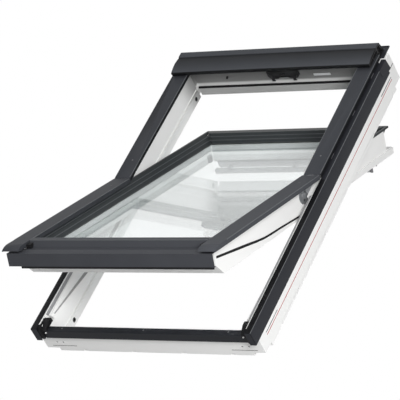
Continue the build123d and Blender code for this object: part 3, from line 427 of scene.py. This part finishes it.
# The rolled edges are coated much lighter than the covers: painted highlights along the folds.
edge_highlight_coat = coat("rolled_edge", (0.10, 0.105, 0.11), 0.4)
strip_black = coat("black_top", (0.006, 0.006, 0.007), 0.5)
fold = rounded([(cladding_in_x, -sheet), (cladding_in_x, 0), (cladding_out_x, 0),
                (cladding_out_x, cladding_drop), (cladding_out_x - 1.15, cladding_drop),
                (cladding_out_x - 1.15, -sheet)], 0.9)
upper_end = cladding_high_v + 8.0 * np.clip(fold[:, 1] / cladding_drop, 0, 1)
cladding = np.stack([on_frame(fold[:, 0], cladding_low_v, fold[:, 1]),
                     on_frame(fold[:, 0], upper_end, fold[:, 1])])
end = rounded([(cladding_in_x, -0.3), (cladding_out_x, -0.3), (cladding_out_x, cladding_drop),
               (cladding_in_x, cladding_drop)], 1.5)
end_plate = carried_v(on_frame, end, (cladding_low_v, cladding_low_v + sheet))
for side, name in ((-1, "left"), (1, "right")):
    settle("folded_cladding_" + name, skin([cladding * (side, 1, 1), end_plate * (side, 1, 1)]),
           cladding_coat, "frame", ["side_cladding_" + name])
dress(["top_corner_pieces"], cladding_coat, edge=0.0004)
dress(["back_plate"], plate_coat, edge=0.0004)
pad = rounded([(369.6, 0.05), (369.6, 0.6), (388.2, 0.6), (388.2, 0.05)], 0.3)
settle("cladding_top_pads", skin(both([carried_v(on_frame, pad, (-608.5, 20))])), strip_black,
       "frame")
# The claddings' rolled edges, in the lighter coat, are painted highlights.
rolled = edge_along(on_frame, cladding_out_x - 1.1, -0.3, -608.5, cladding_high_v, 1.1)
settle("cladding_rolled_edges", skin(both([rolled])), edge_highlight_coat, "frame")

# Sill cover: aluminium sheet folded over the bottom member, with a hem at its lower edge,
# coated almost black and held by three screws.
sill_coat = coat("sill_coating", (0.014, 0.015, 0.018), 0.42)
dress(["sill_cover"], sill_coat, edge=0.0005)


# Corner blocks: moulded black rubber that closes the corner between sill cover and side
# cladding, with a pocket in its inner face. A white plastic pin holds the end of the sill cover.
def carried_x(place, points, stations):
    """An outline of (v, n) carried across the window through the x stations."""
    return place(np.asarray(stations, float)[:, None], points[None, :, 0], points[None, :, 1])


rubber = speckled("rubber", (0.008, 0.008, 0.009), (0.014, 0.014, 0.015), 0.55, grain=700.0,
                  specular=0.10)
block = rounded([(-551, -23.0), (-551, -11), (-557, -4.5), (-573, -4.5), (-588, -12), (-599, -18),
                 (-599.5, -22.0), (-587, -23.0)], 2.0)
block_middle = block.mean(0)
chamfer, rim, pocket = (block_middle + (block - block_middle) * share
                        for share in (0.96, 0.72, 0.62))
block_rings = np.stack([on_frame(363.8, *block.T), on_frame(347.0, *block.T),
                        on_frame(346.3, *chamfer.T), on_frame(346.3, *rim.T),
                        on_frame(351.5, *pocket.T)])
filler = rounded([(-560, -8.5), (-560, -2.5), (-596, -2.5), (-604, -8), (-607, -16), (-604, -49.5),
                  (-588.2, -49.5), (-588.2, -8.5)], 1.6)
filler_rings = carried_x(on_frame, filler, (362.6, 387.6, 388.4))
settle("corner_blocks", skin(both([block_rings, filler_rings])), rubber, "frame",
       ["corner_seals"])
pin_white = speckled("pin_white", (0.8, 0.8, 0.79), (0.7, 0.7, 0.69), 0.4)
pin_r = np.array([2.4, 2.4, 1.7, 0.6])[:, None]
pin_v = np.array([-597.5, -600.4, -601.1, -601.3])[:, None]
pin = on_frame(351 + pin_r * np.cos(turn), pin_v, -27 + pin_r * np.sin(turn))
settle("corner_pins", skin(both([pin])), pin_white, "frame")

# Frame seals: extruded rubber pressed into the rebates, grey and narrow with a lip beside the
# recess below the hinge, black and wide above it. A lip seal runs along the top member and
# another along the bottom member.
seal_grey = speckled("seal_grey", (0.24, 0.245, 0.25), (0.30, 0.30, 0.31), 0.6, grain=700.0,
                     specular=0.3)
seal_end_v, seal_end_x = 544.8, 344.5
hinge_low_v, hinge_high_v = -44.5, 84.0
narrow = rounded([(357.8, -7.9), (365.8, -7.9), (365.8, -2.2), (363.5, -2.2), (361.2, -5.2),
                  (358.8, -3.6), (356.4, -4.6), (357.8, -6.2)], 0.7)
wide = rounded([(346.2, -7.9), (363.7, -7.9), (363.7, -1.6), (347.5, -1.6), (343.9, -6),
                (343.9, -12.5), (344.8, -12.5), (344.8, -8.6)], 0.7)
settle("lower_side_seals", skin(both([carried_v(on_frame, narrow, (-seal_end_v, hinge_low_v))])),
       seal_grey, "frame")
settle("upper_side_seals", skin(both([carried_v(on_frame, wide, (hinge_high_v, seal_end_v))])),
       rubber, "frame", ["frame_side_seals"])
top_lip = rounded([(559.9, -82.2), (557, -82.4), (553.2, -84), (552.6, -86), (553.6, -87.8),
                   (559.9, -87.8)], 0.8)
settle("top_lip_seal", skin([carried_x(on_frame, top_lip, (-seal_end_x, seal_end_x))]), rubber,
       "frame", ["frame_top_seal"])
sill_lip = rounded([(-572.9, -60.2), (-562.6, -69.8), (-558.6, -67.4), (-558.2, -64), (-561, -60.4),
                    (-568, -57.2)], 1.2)
settle("sill_lip_seal", skin([carried_x(on_frame, sill_lip, (-seal_end_x, seal_end_x))]), rubber,
       "frame", ["frame_sill_seal"])

# Bolt seats: turned black plastic bushes, pushed into bores of the left member, which hold the
# sash's bolt when the window is turned over or held ajar.
plastic = speckled("black_plastic", (0.012, 0.012, 0.013), (0.02, 0.02, 0.021), 0.42, specular=0.15)
dress(["bolt_seats"], plastic, edge=0.0003)

# Hinge tracks: pressed and plated steel with a curved groove for the sash's rail, screwed to the
# side members.
steel = speckled("steel", (0.30, 0.31, 0.325), (0.24, 0.25, 0.26), 0.38, metallic=0.55)
dress(["hinge_track_left", "hinge_track_right", "hinge_track_screws"], steel, edge=0.0002)

# Lock striker: moulded black plate screwed to the top member, with a recess and a roller for the
# latch and two curved claws. Beside it a narrow plate of bare metal, and at the left a small
# plastic hook.
top_face_v = half_height - 28.1
case = rounded([(-58, -26), (58, -26), (58, -48), (50, -57), (22, -57), (17, -51), (-17, -51),
                (-22, -57), (-50, -57), (-58, -48)], 2.5)
case_middle = case.mean(0)
recess_rim = case_middle + (case - case_middle) * (0.86, 0.72)
recess_floor = case_middle + (case - case_middle) * (0.80, 0.62)
bevelled_n = case_middle[1] + (case[:, 1] - case_middle[1]) * 0.97
case_rings = np.stack([on_frame(case[:, 0], top_face_v, case[:, 1]),
                       on_frame(case[:, 0], 551.8, case[:, 1]),
                       on_frame(case[:, 0] * 0.98, 551.2, bevelled_n),
                       on_frame(recess_rim[:, 0], 551.2, recess_rim[:, 1]),
                       on_frame(recess_floor[:, 0], 555.5, recess_floor[:, 1])])
bend = np.linspace(math.radians(100), math.radians(-120), 14)
claw_n = np.concatenate([[-50.0], -54.3 - 5.2 * (1 - np.sin(bend))])
claw_v = np.concatenate([[553.5], 550.2 - 3.6 * np.cos(bend)])
claw = np.stack([np.concatenate([claw_v + 1.1, claw_v[::-1] - 1.1]),
                 np.concatenate([claw_n, claw_n[::-1]])], -1)
claws = [carried_x(on_frame, claw, (x - 5, x + 5)) for x in (-40, 40)]
roller_x = np.array([-8.0, -7.0, 7.0, 8.0])[:, None]
roller_r = np.array([2.2, 3, 3, 2.2])[:, None]
roller = on_frame(roller_x, 552.6 + roller_r * np.cos(turn), -41 + roller_r * np.sin(turn))
settle("striker_with_claws", skin([case_rings, roller] + claws), plastic, "frame",
       ["lock_striker"], sharp=40)
bare = speckled("bare_plate", (0.66, 0.67, 0.68), (0.55, 0.56, 0.57), 0.4, metallic=0.25)
plate_x, plate_n = 138.0, -52.5
plate = rounded([(-31, 4.5), (31, 4.5), (31, -4.5), (-31, -4.5)], 1.5)
plate_rings = np.stack([on_frame(plate_x + plate[:, 0] * long, v, plate_n + plate[:, 1] * wide)
                        for long, wide, v in ((1, 1, top_face_v), (1, 1, 559.5),
                                              (0.97, 0.6, 559.4), (0.96, 0.5, 557.6))])
settle("narrow_bare_plate", skin([plate_rings]), bare, "frame", ["top_member_plate"])
hook_v = np.concatenate([[top_face_v, 556.5], 554 - 2.2 * np.cos(bend), [555.5, top_face_v]])
hook_n = np.concatenate([[-44.0, -44.0], -46 - 2.4 * (1 - np.sin(bend)), [-49.0, -49.0]])
hook = carried_x(on_frame, np.stack([hook_v, hook_n], -1), (-219, -214))
settle("small_hook", skin([hook]), plastic, "frame")

# Upper side covers: coated aluminium sheet folded over the frame's sides, with rolled edges,
# hooked on plastic blocks and screwed. They stay on the frame when the sash turns.
upper_coat = coat("upper_cover_coating", (0.033, 0.035, 0.040), 0.5)
# The upper covers' coat has painted shade: near black below the top face, on the folded flanges.
flange_shade = ((0, 0.15), (0.68, 0.22), (0.84, 1.0), (1, 1.0))
fade(upper_coat, outward, 0.08, 0.12, flange_shade)
dress(["upper_cover_left", "upper_cover_right"], upper_coat, edge=0.0007)
edge_radius, edge_n = 1.0, 18.6
# The upper covers' rolled edges, in the lighter coat, are painted highlights.
upper_edges = [edge_along(on_frame, x, edge_n, 26.5, 559.6, edge_radius) for x in (374.4, 318.6)]
settle("upper_rolled_edges", skin(both(upper_edges)), edge_highlight_coat, "frame")
grey_plastic = speckled("grey_plastic", (0.10, 0.10, 0.11), (0.14, 0.14, 0.15), 0.45)
dress(["upper_cover_blocks"], grey_plastic, edge=0.0003)

# Hood: coated sheet rolled to a domed top with a drip edge and a small step, closed at both ends
# by ribbed plastic pieces that clip onto the back plate. Shade is painted into its coat: near
# black along the drip edge, full tone at the foot of the dome, darker up the dome to the step,
# and full tone again beyond it.
hood_half, hood_low_v, hood_n = 369.0, 494.0, 36.0
dome_height, crown_height, hood_sheet = 4.5, 1.0, 1.2
s = np.linspace(0, 1, 14)[1:-1]
top = np.stack([1 + 68.4 * s, hood_sheet + 3.3 * s + dome_height * np.sin(math.pi * s)], -1)
under = np.stack([1.5 + 68.5 * s, 3.3 * s + dome_height * np.sin(math.pi * s)], -1)[::-1]
front_edge = [(0.3, -11), (-1.4, -0.5), (1, 1.2)]
back_edge = [(69.4, 4.5), (72, 7.2), (92.4, 7.7), (97, 5), (108, -34.6), (115, -34.6), (115, -35.8),
             (107, -35.8), (96, 4), (92, 6.5), (72.5, 6), (70, 3.3)]
edge_under = [(1.5, 0), (0, -1), (1.5, -11)]
bent = rounded(np.concatenate([front_edge, top, back_edge, under, edge_under]), 1.0, 3)
stations = np.linspace(-hood_half, hood_half, 25)[:, None]
on_dome = np.clip((92 - bent[None, :, 0]) / 25, 0, 1)
crown = crown_height * (1 - (stations / hood_half) ** 2) * on_dome
hood = on_frame(stations, hood_low_v + bent[None, :, 0], hood_n + bent[None, :, 1] + crown)
hood_coat = coat("hood_coating", (0.046, 0.049, 0.055), 0.5)
# dome_shade is painted shade: the drip edge near black, the dome darker towards the step.
dome_shade = ((0, 0.12), (0.055, 0.12), (0.078, 1.0), (0.82, 0.16), (0.86, 1.0))
fade(hood_coat, up_slope, 1.525, 1.65, dome_shade)
settle("domed_hood", skin([hood]), hood_coat, "frame", ["top_hood"], sharp=30)
dress(["hood_ends"], plastic, edge=0.0004)

# Sash members: the same white moulding round a pine core, rebated for the glass. Foam filters
# lie in the two air slots of the top member.
dress(["sash_left_member", "sash_right_member", "sash_bottom_member", "sash_top_member"], white,
      member_edge)
foam = speckled("filter_foam", (0.5, 0.5, 0.48), (0.6, 0.6, 0.58), 0.9, grain=300, depth=0.8)
dress(["vent_filters"], foam)

# Glazing: two panes held apart by a pale warm-edge spacer, sealed round with black rubber, and
# laid in the rebate on a pale tape.
pivot_v, pivot_n = 21.0, 19.0
pivot_y, pivot_z = 373.352, 487.904
sash_lean = math.radians(45 - 25.5)


def on_sash(x, v, n):
    """Points of the open sash in metres, from its own mm across, up and outward.

    v and n are counted from the pivot, turned by the sash's lean and moved to the pivot line.
    """
    x, up, out = np.broadcast_arrays(x, np.subtract(v, pivot_v), np.subtract(n, pivot_n))
    return np.stack([x, pivot_y + up * math.cos(sash_lean) - out * math.sin(sash_lean),
                     pivot_z + up * math.sin(sash_lean) + out * math.cos(sash_lean)], -1) / 1000


glass, tree, shader, where = new_finish("glass", 0.0)
shader.inputs["Base Color"].default_value = (0.955, 0.972, 0.972, 1.0)
shader.inputs["Transmission Weight"].default_value = 1.0
shader.inputs["IOR"].default_value = 1.28
film = tree.nodes.new("ShaderNodeTexNoise")
film.inputs["Scale"].default_value = 5.0
dust = tree.nodes.new("ShaderNodeMapRange")
dust.inputs["To Max"].default_value = 0.02
tree.links.new(where, film.inputs["Vector"])
tree.links.new(film.outputs["Fac"], dust.inputs["Value"])
tree.links.new(dust.outputs["Result"], shader.inputs["Roughness"])
clear = tree.nodes.new("ShaderNodeBsdfTransparent")
clear.inputs["Color"].default_value = (0.95, 0.965, 0.965, 1.0)
path = tree.nodes.new("ShaderNodeLightPath")
passing = tree.nodes.new("ShaderNodeMath")
passing.operation = "MAXIMUM"
tree.links.new(path.outputs["Is Shadow Ray"], passing.inputs[0])
tree.links.new(path.outputs["Is Diffuse Ray"], passing.inputs[1])
through_glass = tree.nodes.new("ShaderNodeMixShader")
tree.links.new(passing.outputs[0], through_glass.inputs[0])
tree.links.new(shader.outputs[0], through_glass.inputs[1])
tree.links.new(clear.outputs[0], through_glass.inputs[2])
tree.links.new(through_glass.outputs[0], tree.nodes["Material Output"].inputs[0])
dress(["outer_pane", "inner_pane"], glass)
spacer = speckled("pale_spacer", (0.86, 0.87, 0.87), (0.82, 0.83, 0.83), 0.5, specular=0.2)
spacer_x = np.array([319.8, 319.8, 302.2, 302.2])
spacer_low_v = np.array([-531.8, -531.8, -516.0, -516.0])
spacer_high_v = np.array([496.8, 496.8, 489.0, 489.0])
spacer_n = np.array([-46.9, -31.1, -31.1, -46.9])
side_bar = np.stack([on_sash(spacer_x, v, spacer_n) for v in (spacer_low_v, spacer_high_v)])
end_bars = [on_sash(np.array([[-1], [1]]) * spacer_x, v, spacer_n)
            for v in (spacer_low_v, spacer_high_v)]
settle("warm_edge_spacer", skin(both([side_bar]) + end_bars), spacer, "sash",
       ["pane_spacer"])
tape = speckled("pale_tape", (0.7, 0.71, 0.71), (0.65, 0.66, 0.66), 0.6)
dress(["glazing_bed"], tape)
dress(["pane_edge_seal"], rubber)

# Bottom cover of the sash with its glazing trim: coated aluminium sheet, folded, with rolled
# edges, screwed to the bottom member. A rubber strip seals below it.
front_coat = coat("front_coating", (0.042, 0.044, 0.050), 0.5)
dress(["sash_bottom_cover", "bottom_glazing_trim"], front_coat, edge=0.0006)
# The bottom cover's and bottom trim's rolled edges, in the lighter coat, are painted highlights.
front_edges = [on_sash(np.array([[-x], [x]]), v + edge_radius * np.cos(turn),
                       n + edge_radius * np.sin(turn))
               for x, v, n in ((361.5, -584.4, -0.6), (313.5, -544.0, 18.5), (313.5, -524.4, 18.5))]
settle("front_rolled_edges", skin(front_edges), edge_highlight_coat, "sash")
dress(["sash_bottom_seal"], rubber)

# Glazing trims: extruded aluminium, mitred at the top and clipped onto the sash, with ribs along
# the slope. A rubber bead seals their foot to the glass; webs, plastic plugs and rubber packers
# close the upper corners.
trim = coat("dark_trim", (0.030, 0.034, 0.036), 0.34)
dress(["side_trim_left", "side_trim_right", "top_trim"], trim)
trim_in_x, trim_low_v = 303.0, -514.0
mitre_low_v, mitre_rise = 499.0, 45 / 37
bead_grey = speckled("bead_rubber", (0.022, 0.025, 0.026), (0.03, 0.033, 0.034), 0.4, specular=0.6)
bead_r, bead_n = 1.5, -25.6
side_bead = edge_along(on_sash, trim_in_x - 1.1, bead_n, trim_low_v, 497.0, bead_r)
top_bead = on_sash(np.array([[-300.0], [300.0]]), mitre_low_v - 1.1 + bead_r * np.cos(turn)[None],
                   bead_n + bead_r * np.sin(turn)[None])
settle("glazing_beads", skin(both([side_bead]) + [top_bead]), bead_grey, "sash")
rib_x, rib_n = np.array([1.6, 0, -1.6, 0]), np.array([0, 1.5, 0, -1.5])
ribs = []
for x, v, n in ((323.5, 511.2, -4.9), (313.2, 505.0, -15.3)):
    mitre_v = mitre_low_v + mitre_rise * (x - trim_in_x)
    ribs += both([on_sash(x + rib_x, np.array([[trim_low_v], [mitre_v]]), n + rib_n)])
    ribs.append(on_sash(np.array([[-x], [x]]), v + rib_x, n + rib_n))
# The ribs are coated lighter than the trim: painted highlight lines along it.
rib_highlight_grey = speckled("rib_highlight_grey", (0.07, 0.075, 0.08), (0.09, 0.095, 0.1), 0.4, specular=0.2)
settle("trim_ribs", skin(ribs), rib_highlight_grey, "sash")
web_x = np.array([303.6, 318.5, 339.3, 339.3, 333.0, 324.0])
web_n = np.array([-25.6, 3.8, 3.8, -1.4, -3.0, -25.6])
web_v = mitre_low_v + mitre_rise * (web_x - trim_in_x)
webs = np.stack([on_sash(web_x, web_v + beside, web_n) for beside in (-2.0, 3.0)])
settle("mitre_webs", skin(both([webs])), trim, "sash")
plug = rounded([(339.6, -1.6), (339.6, 4.6), (322, 4.6), (315, -3), (310, -14), (313, -18),
                (322, -9), (330, -4)], 1.8)
plug_rings = carried_v(on_sash, plug, (536, 544.2, 545.6))
plug_rings[2] = on_sash(325 + (plug[:, 0] - 325) * 0.8, 545.6, -2 + (plug[:, 1] + 2) * 0.7)
settle("trim_plugs", skin(both([plug_rings])), plastic, "sash")
packer = rounded([(326.6, -1.9), (326.6, 1.4), (339.6, 1.4), (339.6, -1.9)], 0.5)
settle("corner_packers", skin(both([carried_v(on_sash, packer, (513.6, 543.8))])), rubber, "sash")


# Side seals of the sash: a soft rubber bulb pressed into a groove of the side members, that runs
# from the outer edge below to the lip above in an S, so that one rotation closes it.
def through(stations, v, n):
    """Smooth curve n(v) through given places: a cubic blend with slopes of both neighbours."""
    v, n = np.asarray(v, float), np.asarray(n, float)
    slope = np.gradient(n, v)
    at = np.clip(np.searchsorted(v, stations) - 1, 0, len(v) - 2)
    gap = v[at + 1] - v[at]
    s = (stations - v[at]) / gap
    return ((2 * s ** 3 - 3 * s ** 2 + 1) * n[at] + (s ** 3 - 2 * s ** 2 + s) * gap * slope[at]
            + (3 * s ** 2 - 2 * s ** 3) * n[at + 1] + (s ** 3 - s ** 2) * gap * slope[at + 1])


bulb_x, bulb_r = 338.1, 3.2
bulb_v = np.linspace(-556, 30, 70)
upper = through(bulb_v, [-556, -398, -292, -190, -70, 30], [-26, -49, -65, -70, -76, -83.5])
lower = through(bulb_v, [-556, -401, -292, -190, -70, 30], [-33.5, -57, -72, -76, -81.5, -87.5])
half = ((upper - lower) / 2)[:, None]
centre = ((upper + lower) / 2)[:, None]
flat_side = np.maximum(np.cos(turn), -0.15)
bulb = on_sash(bulb_x + bulb_r * flat_side[None], bulb_v[:, None],
               centre + half * np.sin(turn)[None])
settle("bulb_side_seals", skin(both([bulb])), rubber, "sash", ["side_seals"],
       sharp=60)

# Lower side covers: the same coated sheet with a curved nose and rolled edges, on the sash, held
# by plastic blocks. Ribbed rubber ends close the gap between the nose and the bottom trim.
left_coat = coat("cover_coating", (0.033, 0.035, 0.040), 0.5)
# The right cover's coat is the left one's made lighter: painted light.
right_lit_coat = coat("right_cover_painted_light", (0.045, 0.0475, 0.054), 0.5)
dress(["lower_cover_left"], left_coat, edge=0.0007)
dress(["lower_cover_right"], right_lit_coat, edge=0.0007)
dress(["lower_cover_blocks"], grey_plastic, edge=0.0003)
# The lower covers' rolled edges, in the lighter coat, are painted highlights.
lower_edges = [edge_along(on_sash, x, edge_n, -540, 15.5, edge_radius) for x in (374.4, 315.6)]
settle("lower_rolled_edges", skin(both(lower_edges)), edge_highlight_coat, "sash")
comb_count, comb_low_v, comb_step, comb_thick = 9, -566.0, 5.4, 3.6
comb_v = comb_low_v + np.array([0, 0, comb_thick, comb_thick])
comb_n = np.array([0.2, 12.5, 13.5, 0.2])
comb = [on_sash(np.array([[299.0], [316.0]]), comb_v + comb_step * tooth, comb_n)
        for tooth in range(comb_count)]
comb_back = rounded([(-567, 0.2), (-567, 8), (-520, 10.5), (-518, 0.2)], 1.0)
comb.append(carried_x(on_sash, comb_back, (298.4, 314.6)))
settle("ribbed_cover_ends", skin(both(comb)), rubber, "sash")

# Hinge rails: plated steel with a curved rail that runs in the frame's track, screwed to the
# sash, with a pressed hub.
dress(["hinge_rail_left", "hinge_rail_right", "hinge_rail_screws"], steel, edge=0.0002)
hub_r = np.array([24.5, 24.5, 23.5, 18.0, 17.0, 9.0, 8.0, 2.0])[:, None]
hub_x = np.array([339.6, 340.3, 340.7, 340.7, 340.2, 340.2, 340.9, 341.0])[:, None]
ring = np.linspace(0, 2 * math.pi, 49)[:-1]
hub = on_sash(hub_x, -34 + hub_r * np.cos(ring), -28 + hub_r * np.sin(ring))
settle("hinge_hubs", skin(both([hub])), steel, "sash", sharp=25)

# Sash bolt in its plastic guide, steel lock case with its sliding latch, and the plastic clips
# for a blind, all screwed to the sash.
dress(["bolt_guide"], plastic, edge=0.0003)
dress(["lock_case", "latch", "sash_bolt"], steel, edge=0.0002)
dress(["blind_clips"], grey_plastic, edge=0.0003)

# Ventilation flap and control bar: extruded aluminium on a pin in white plastic clips, with
# plastic caps on the bar's ends.
clip_white = speckled("clip_white", (0.7, 0.7, 0.69), (0.65, 0.65, 0.64), 0.4)
dress(["flap_clips"], clip_white, edge=0.0003)
aluminium = speckled("bar_aluminium", (0.36, 0.37, 0.385), (0.30, 0.31, 0.32), 0.35, metallic=0.5)
dress(["vent_flap", "bar_arms", "control_bar"], aluminium, edge=0.0003)
dress(["end_caps"], grey_plastic, edge=0.0003)


# Screws: coated steel with a domed head and a six-sided socket, one kind for the frame's
# corners, the sill cover and the side covers.
def screw_heads(place, spots):
    """Domed heads of 5.6 mm: a ring profile turned about each spot's own normal.

    The socket's radius is 1.55 mm over the cosine of the angle to its nearest flat, times
    the cosine of 30 degrees.
    """
    ring = np.linspace(0, 2 * math.pi, 25)[:-1]
    hexagon = 1.55 * math.cos(math.pi / 6) / np.cos((ring % (math.pi / 3)) - math.pi / 6)
    r = np.stack([ring * 0 + 2.8, ring * 0 + 2.75, ring * 0 + 2.3, ring * 0 + 1.8, hexagon,
                  hexagon * 0.9])
    up = np.array([0.0, 0.35, 0.62, 0.75, 0.75, 0.15])[:, None]
    return [place(a, b, r * np.cos(ring), r * np.sin(ring), up) for a, b in spots]


screws = speckled("coated_screws", (0.05, 0.05, 0.055), (0.09, 0.09, 0.095), 0.4)
corner_places = [(x, -80) for x in (-342, -319, 319, 342)]
sill_places = [(x, -584) for x in (-296, 0, 296)]
front = screw_heads(lambda x, n, a, b, up: on_frame(x + a, -586.8 - up, n + b), corner_places)
sill = screw_heads(lambda x, v, a, b, up: on_frame(x + a, v + b, -22 + up), sill_places)
upper_places = [(x, 104) for x in (-345, 345)]
covers = screw_heads(lambda x, v, a, b, up: on_frame(x + a, v + b, 19 + up), upper_places)
settle("socket_screws", skin(front + sill + covers), screws, "frame", ["frame_screws"])
lower_places = [(x, -50) for x in (-343, 343)]
lower = screw_heads(lambda x, v, a, b, up: on_sash(x + a, v + b, 19 + up), lower_places)
settle("sash_socket_screws", skin(lower), screws, "sash", ["sash_cover_screws"])

# Studio: a pale floor below the window, white to the camera, and two soft lamps, a strong one
# from the lower right and a weak one from above.
floor_z, floor_half = -0.3, 30
floor_mesh = bpy.data.meshes.new("floor")
floor_mesh.from_pydata([(-floor_half, -floor_half, floor_z), (floor_half, -floor_half, floor_z),
                        (floor_half, floor_half, floor_z), (-floor_half, floor_half, floor_z)], [],
                       [(0, 1, 2, 3)])
floor = linked("floor", floor_mesh)


def white_to_camera(tree, lit, out):
    """Mixes a plain white emission over a shader for camera, glossy and transmitted rays."""
    path = tree.nodes.new("ShaderNodeLightPath")
    first = tree.nodes.new("ShaderNodeMath")
    second = tree.nodes.new("ShaderNodeMath")
    first.operation = second.operation = "MAXIMUM"
    tree.links.new(path.outputs["Is Camera Ray"], first.inputs[0])
    tree.links.new(path.outputs["Is Glossy Ray"], first.inputs[1])
    tree.links.new(first.outputs[0], second.inputs[0])
    tree.links.new(path.outputs["Is Transmission Ray"], second.inputs[1])
    mix = tree.nodes.new("ShaderNodeMixShader")
    tree.links.new(second.outputs[0], mix.inputs[0])
    tree.links.new(lit, mix.inputs[1])
    tree.links.new(out, mix.inputs[2])
    return mix


world = bpy.data.worlds.new("world")
bpy.context.scene.world = world
world.use_nodes = True
tree = world.node_tree
sky = tree.nodes["Background"]
sky.inputs["Color"].default_value = (0.93, 0.94, 0.96, 1.0)
sky.inputs["Strength"].default_value = 0.2
seen = tree.nodes.new("ShaderNodeBackground")
seen.inputs["Color"].default_value = (1, 1, 1, 1)
mix = white_to_camera(tree, sky.outputs[0], seen.outputs[0])
tree.links.new(mix.outputs[0], tree.nodes["World Output"].inputs[0])

paper = bpy.data.materials.new("paper")
paper.use_nodes = True
tree = paper.node_tree
matte = tree.nodes["Principled BSDF"]
matte.inputs["Base Color"].default_value = (0.5, 0.5, 0.5, 1)
glow = tree.nodes.new("ShaderNodeEmission")
glow.inputs["Color"].default_value = (1, 1, 1, 1)
mix = white_to_camera(tree, matte.outputs[0], glow.outputs[0])
tree.links.new(mix.outputs[0], tree.nodes["Material Output"].inputs[0])
floor.data.materials.append(paper)


def lamp(name, place, target, size, power):
    """A square soft lamp at a place, turned to a target."""
    data = bpy.data.lights.new(name, "AREA")
    data.shape = "SQUARE"
    data.size = size
    data.energy = power
    made = bpy.data.objects.new(name, data)
    made.location = place
    back = np.subtract(place, target)
    made.rotation_euler = (math.atan2(math.hypot(back[0], back[1]), back[2]), 0,
                           math.atan2(back[0], -back[1]))
    bpy.context.scene.collection.objects.link(made)


window_middle = (0, 0.3, 0.4)
lamp("key", (3.2, -3.0, 0.9), window_middle, 1.6, 215)
lamp("top", (-0.5, -1.2, 3.2), window_middle, 2.2, 40)

bpy.context.scene.view_settings.view_transform = "Standard"
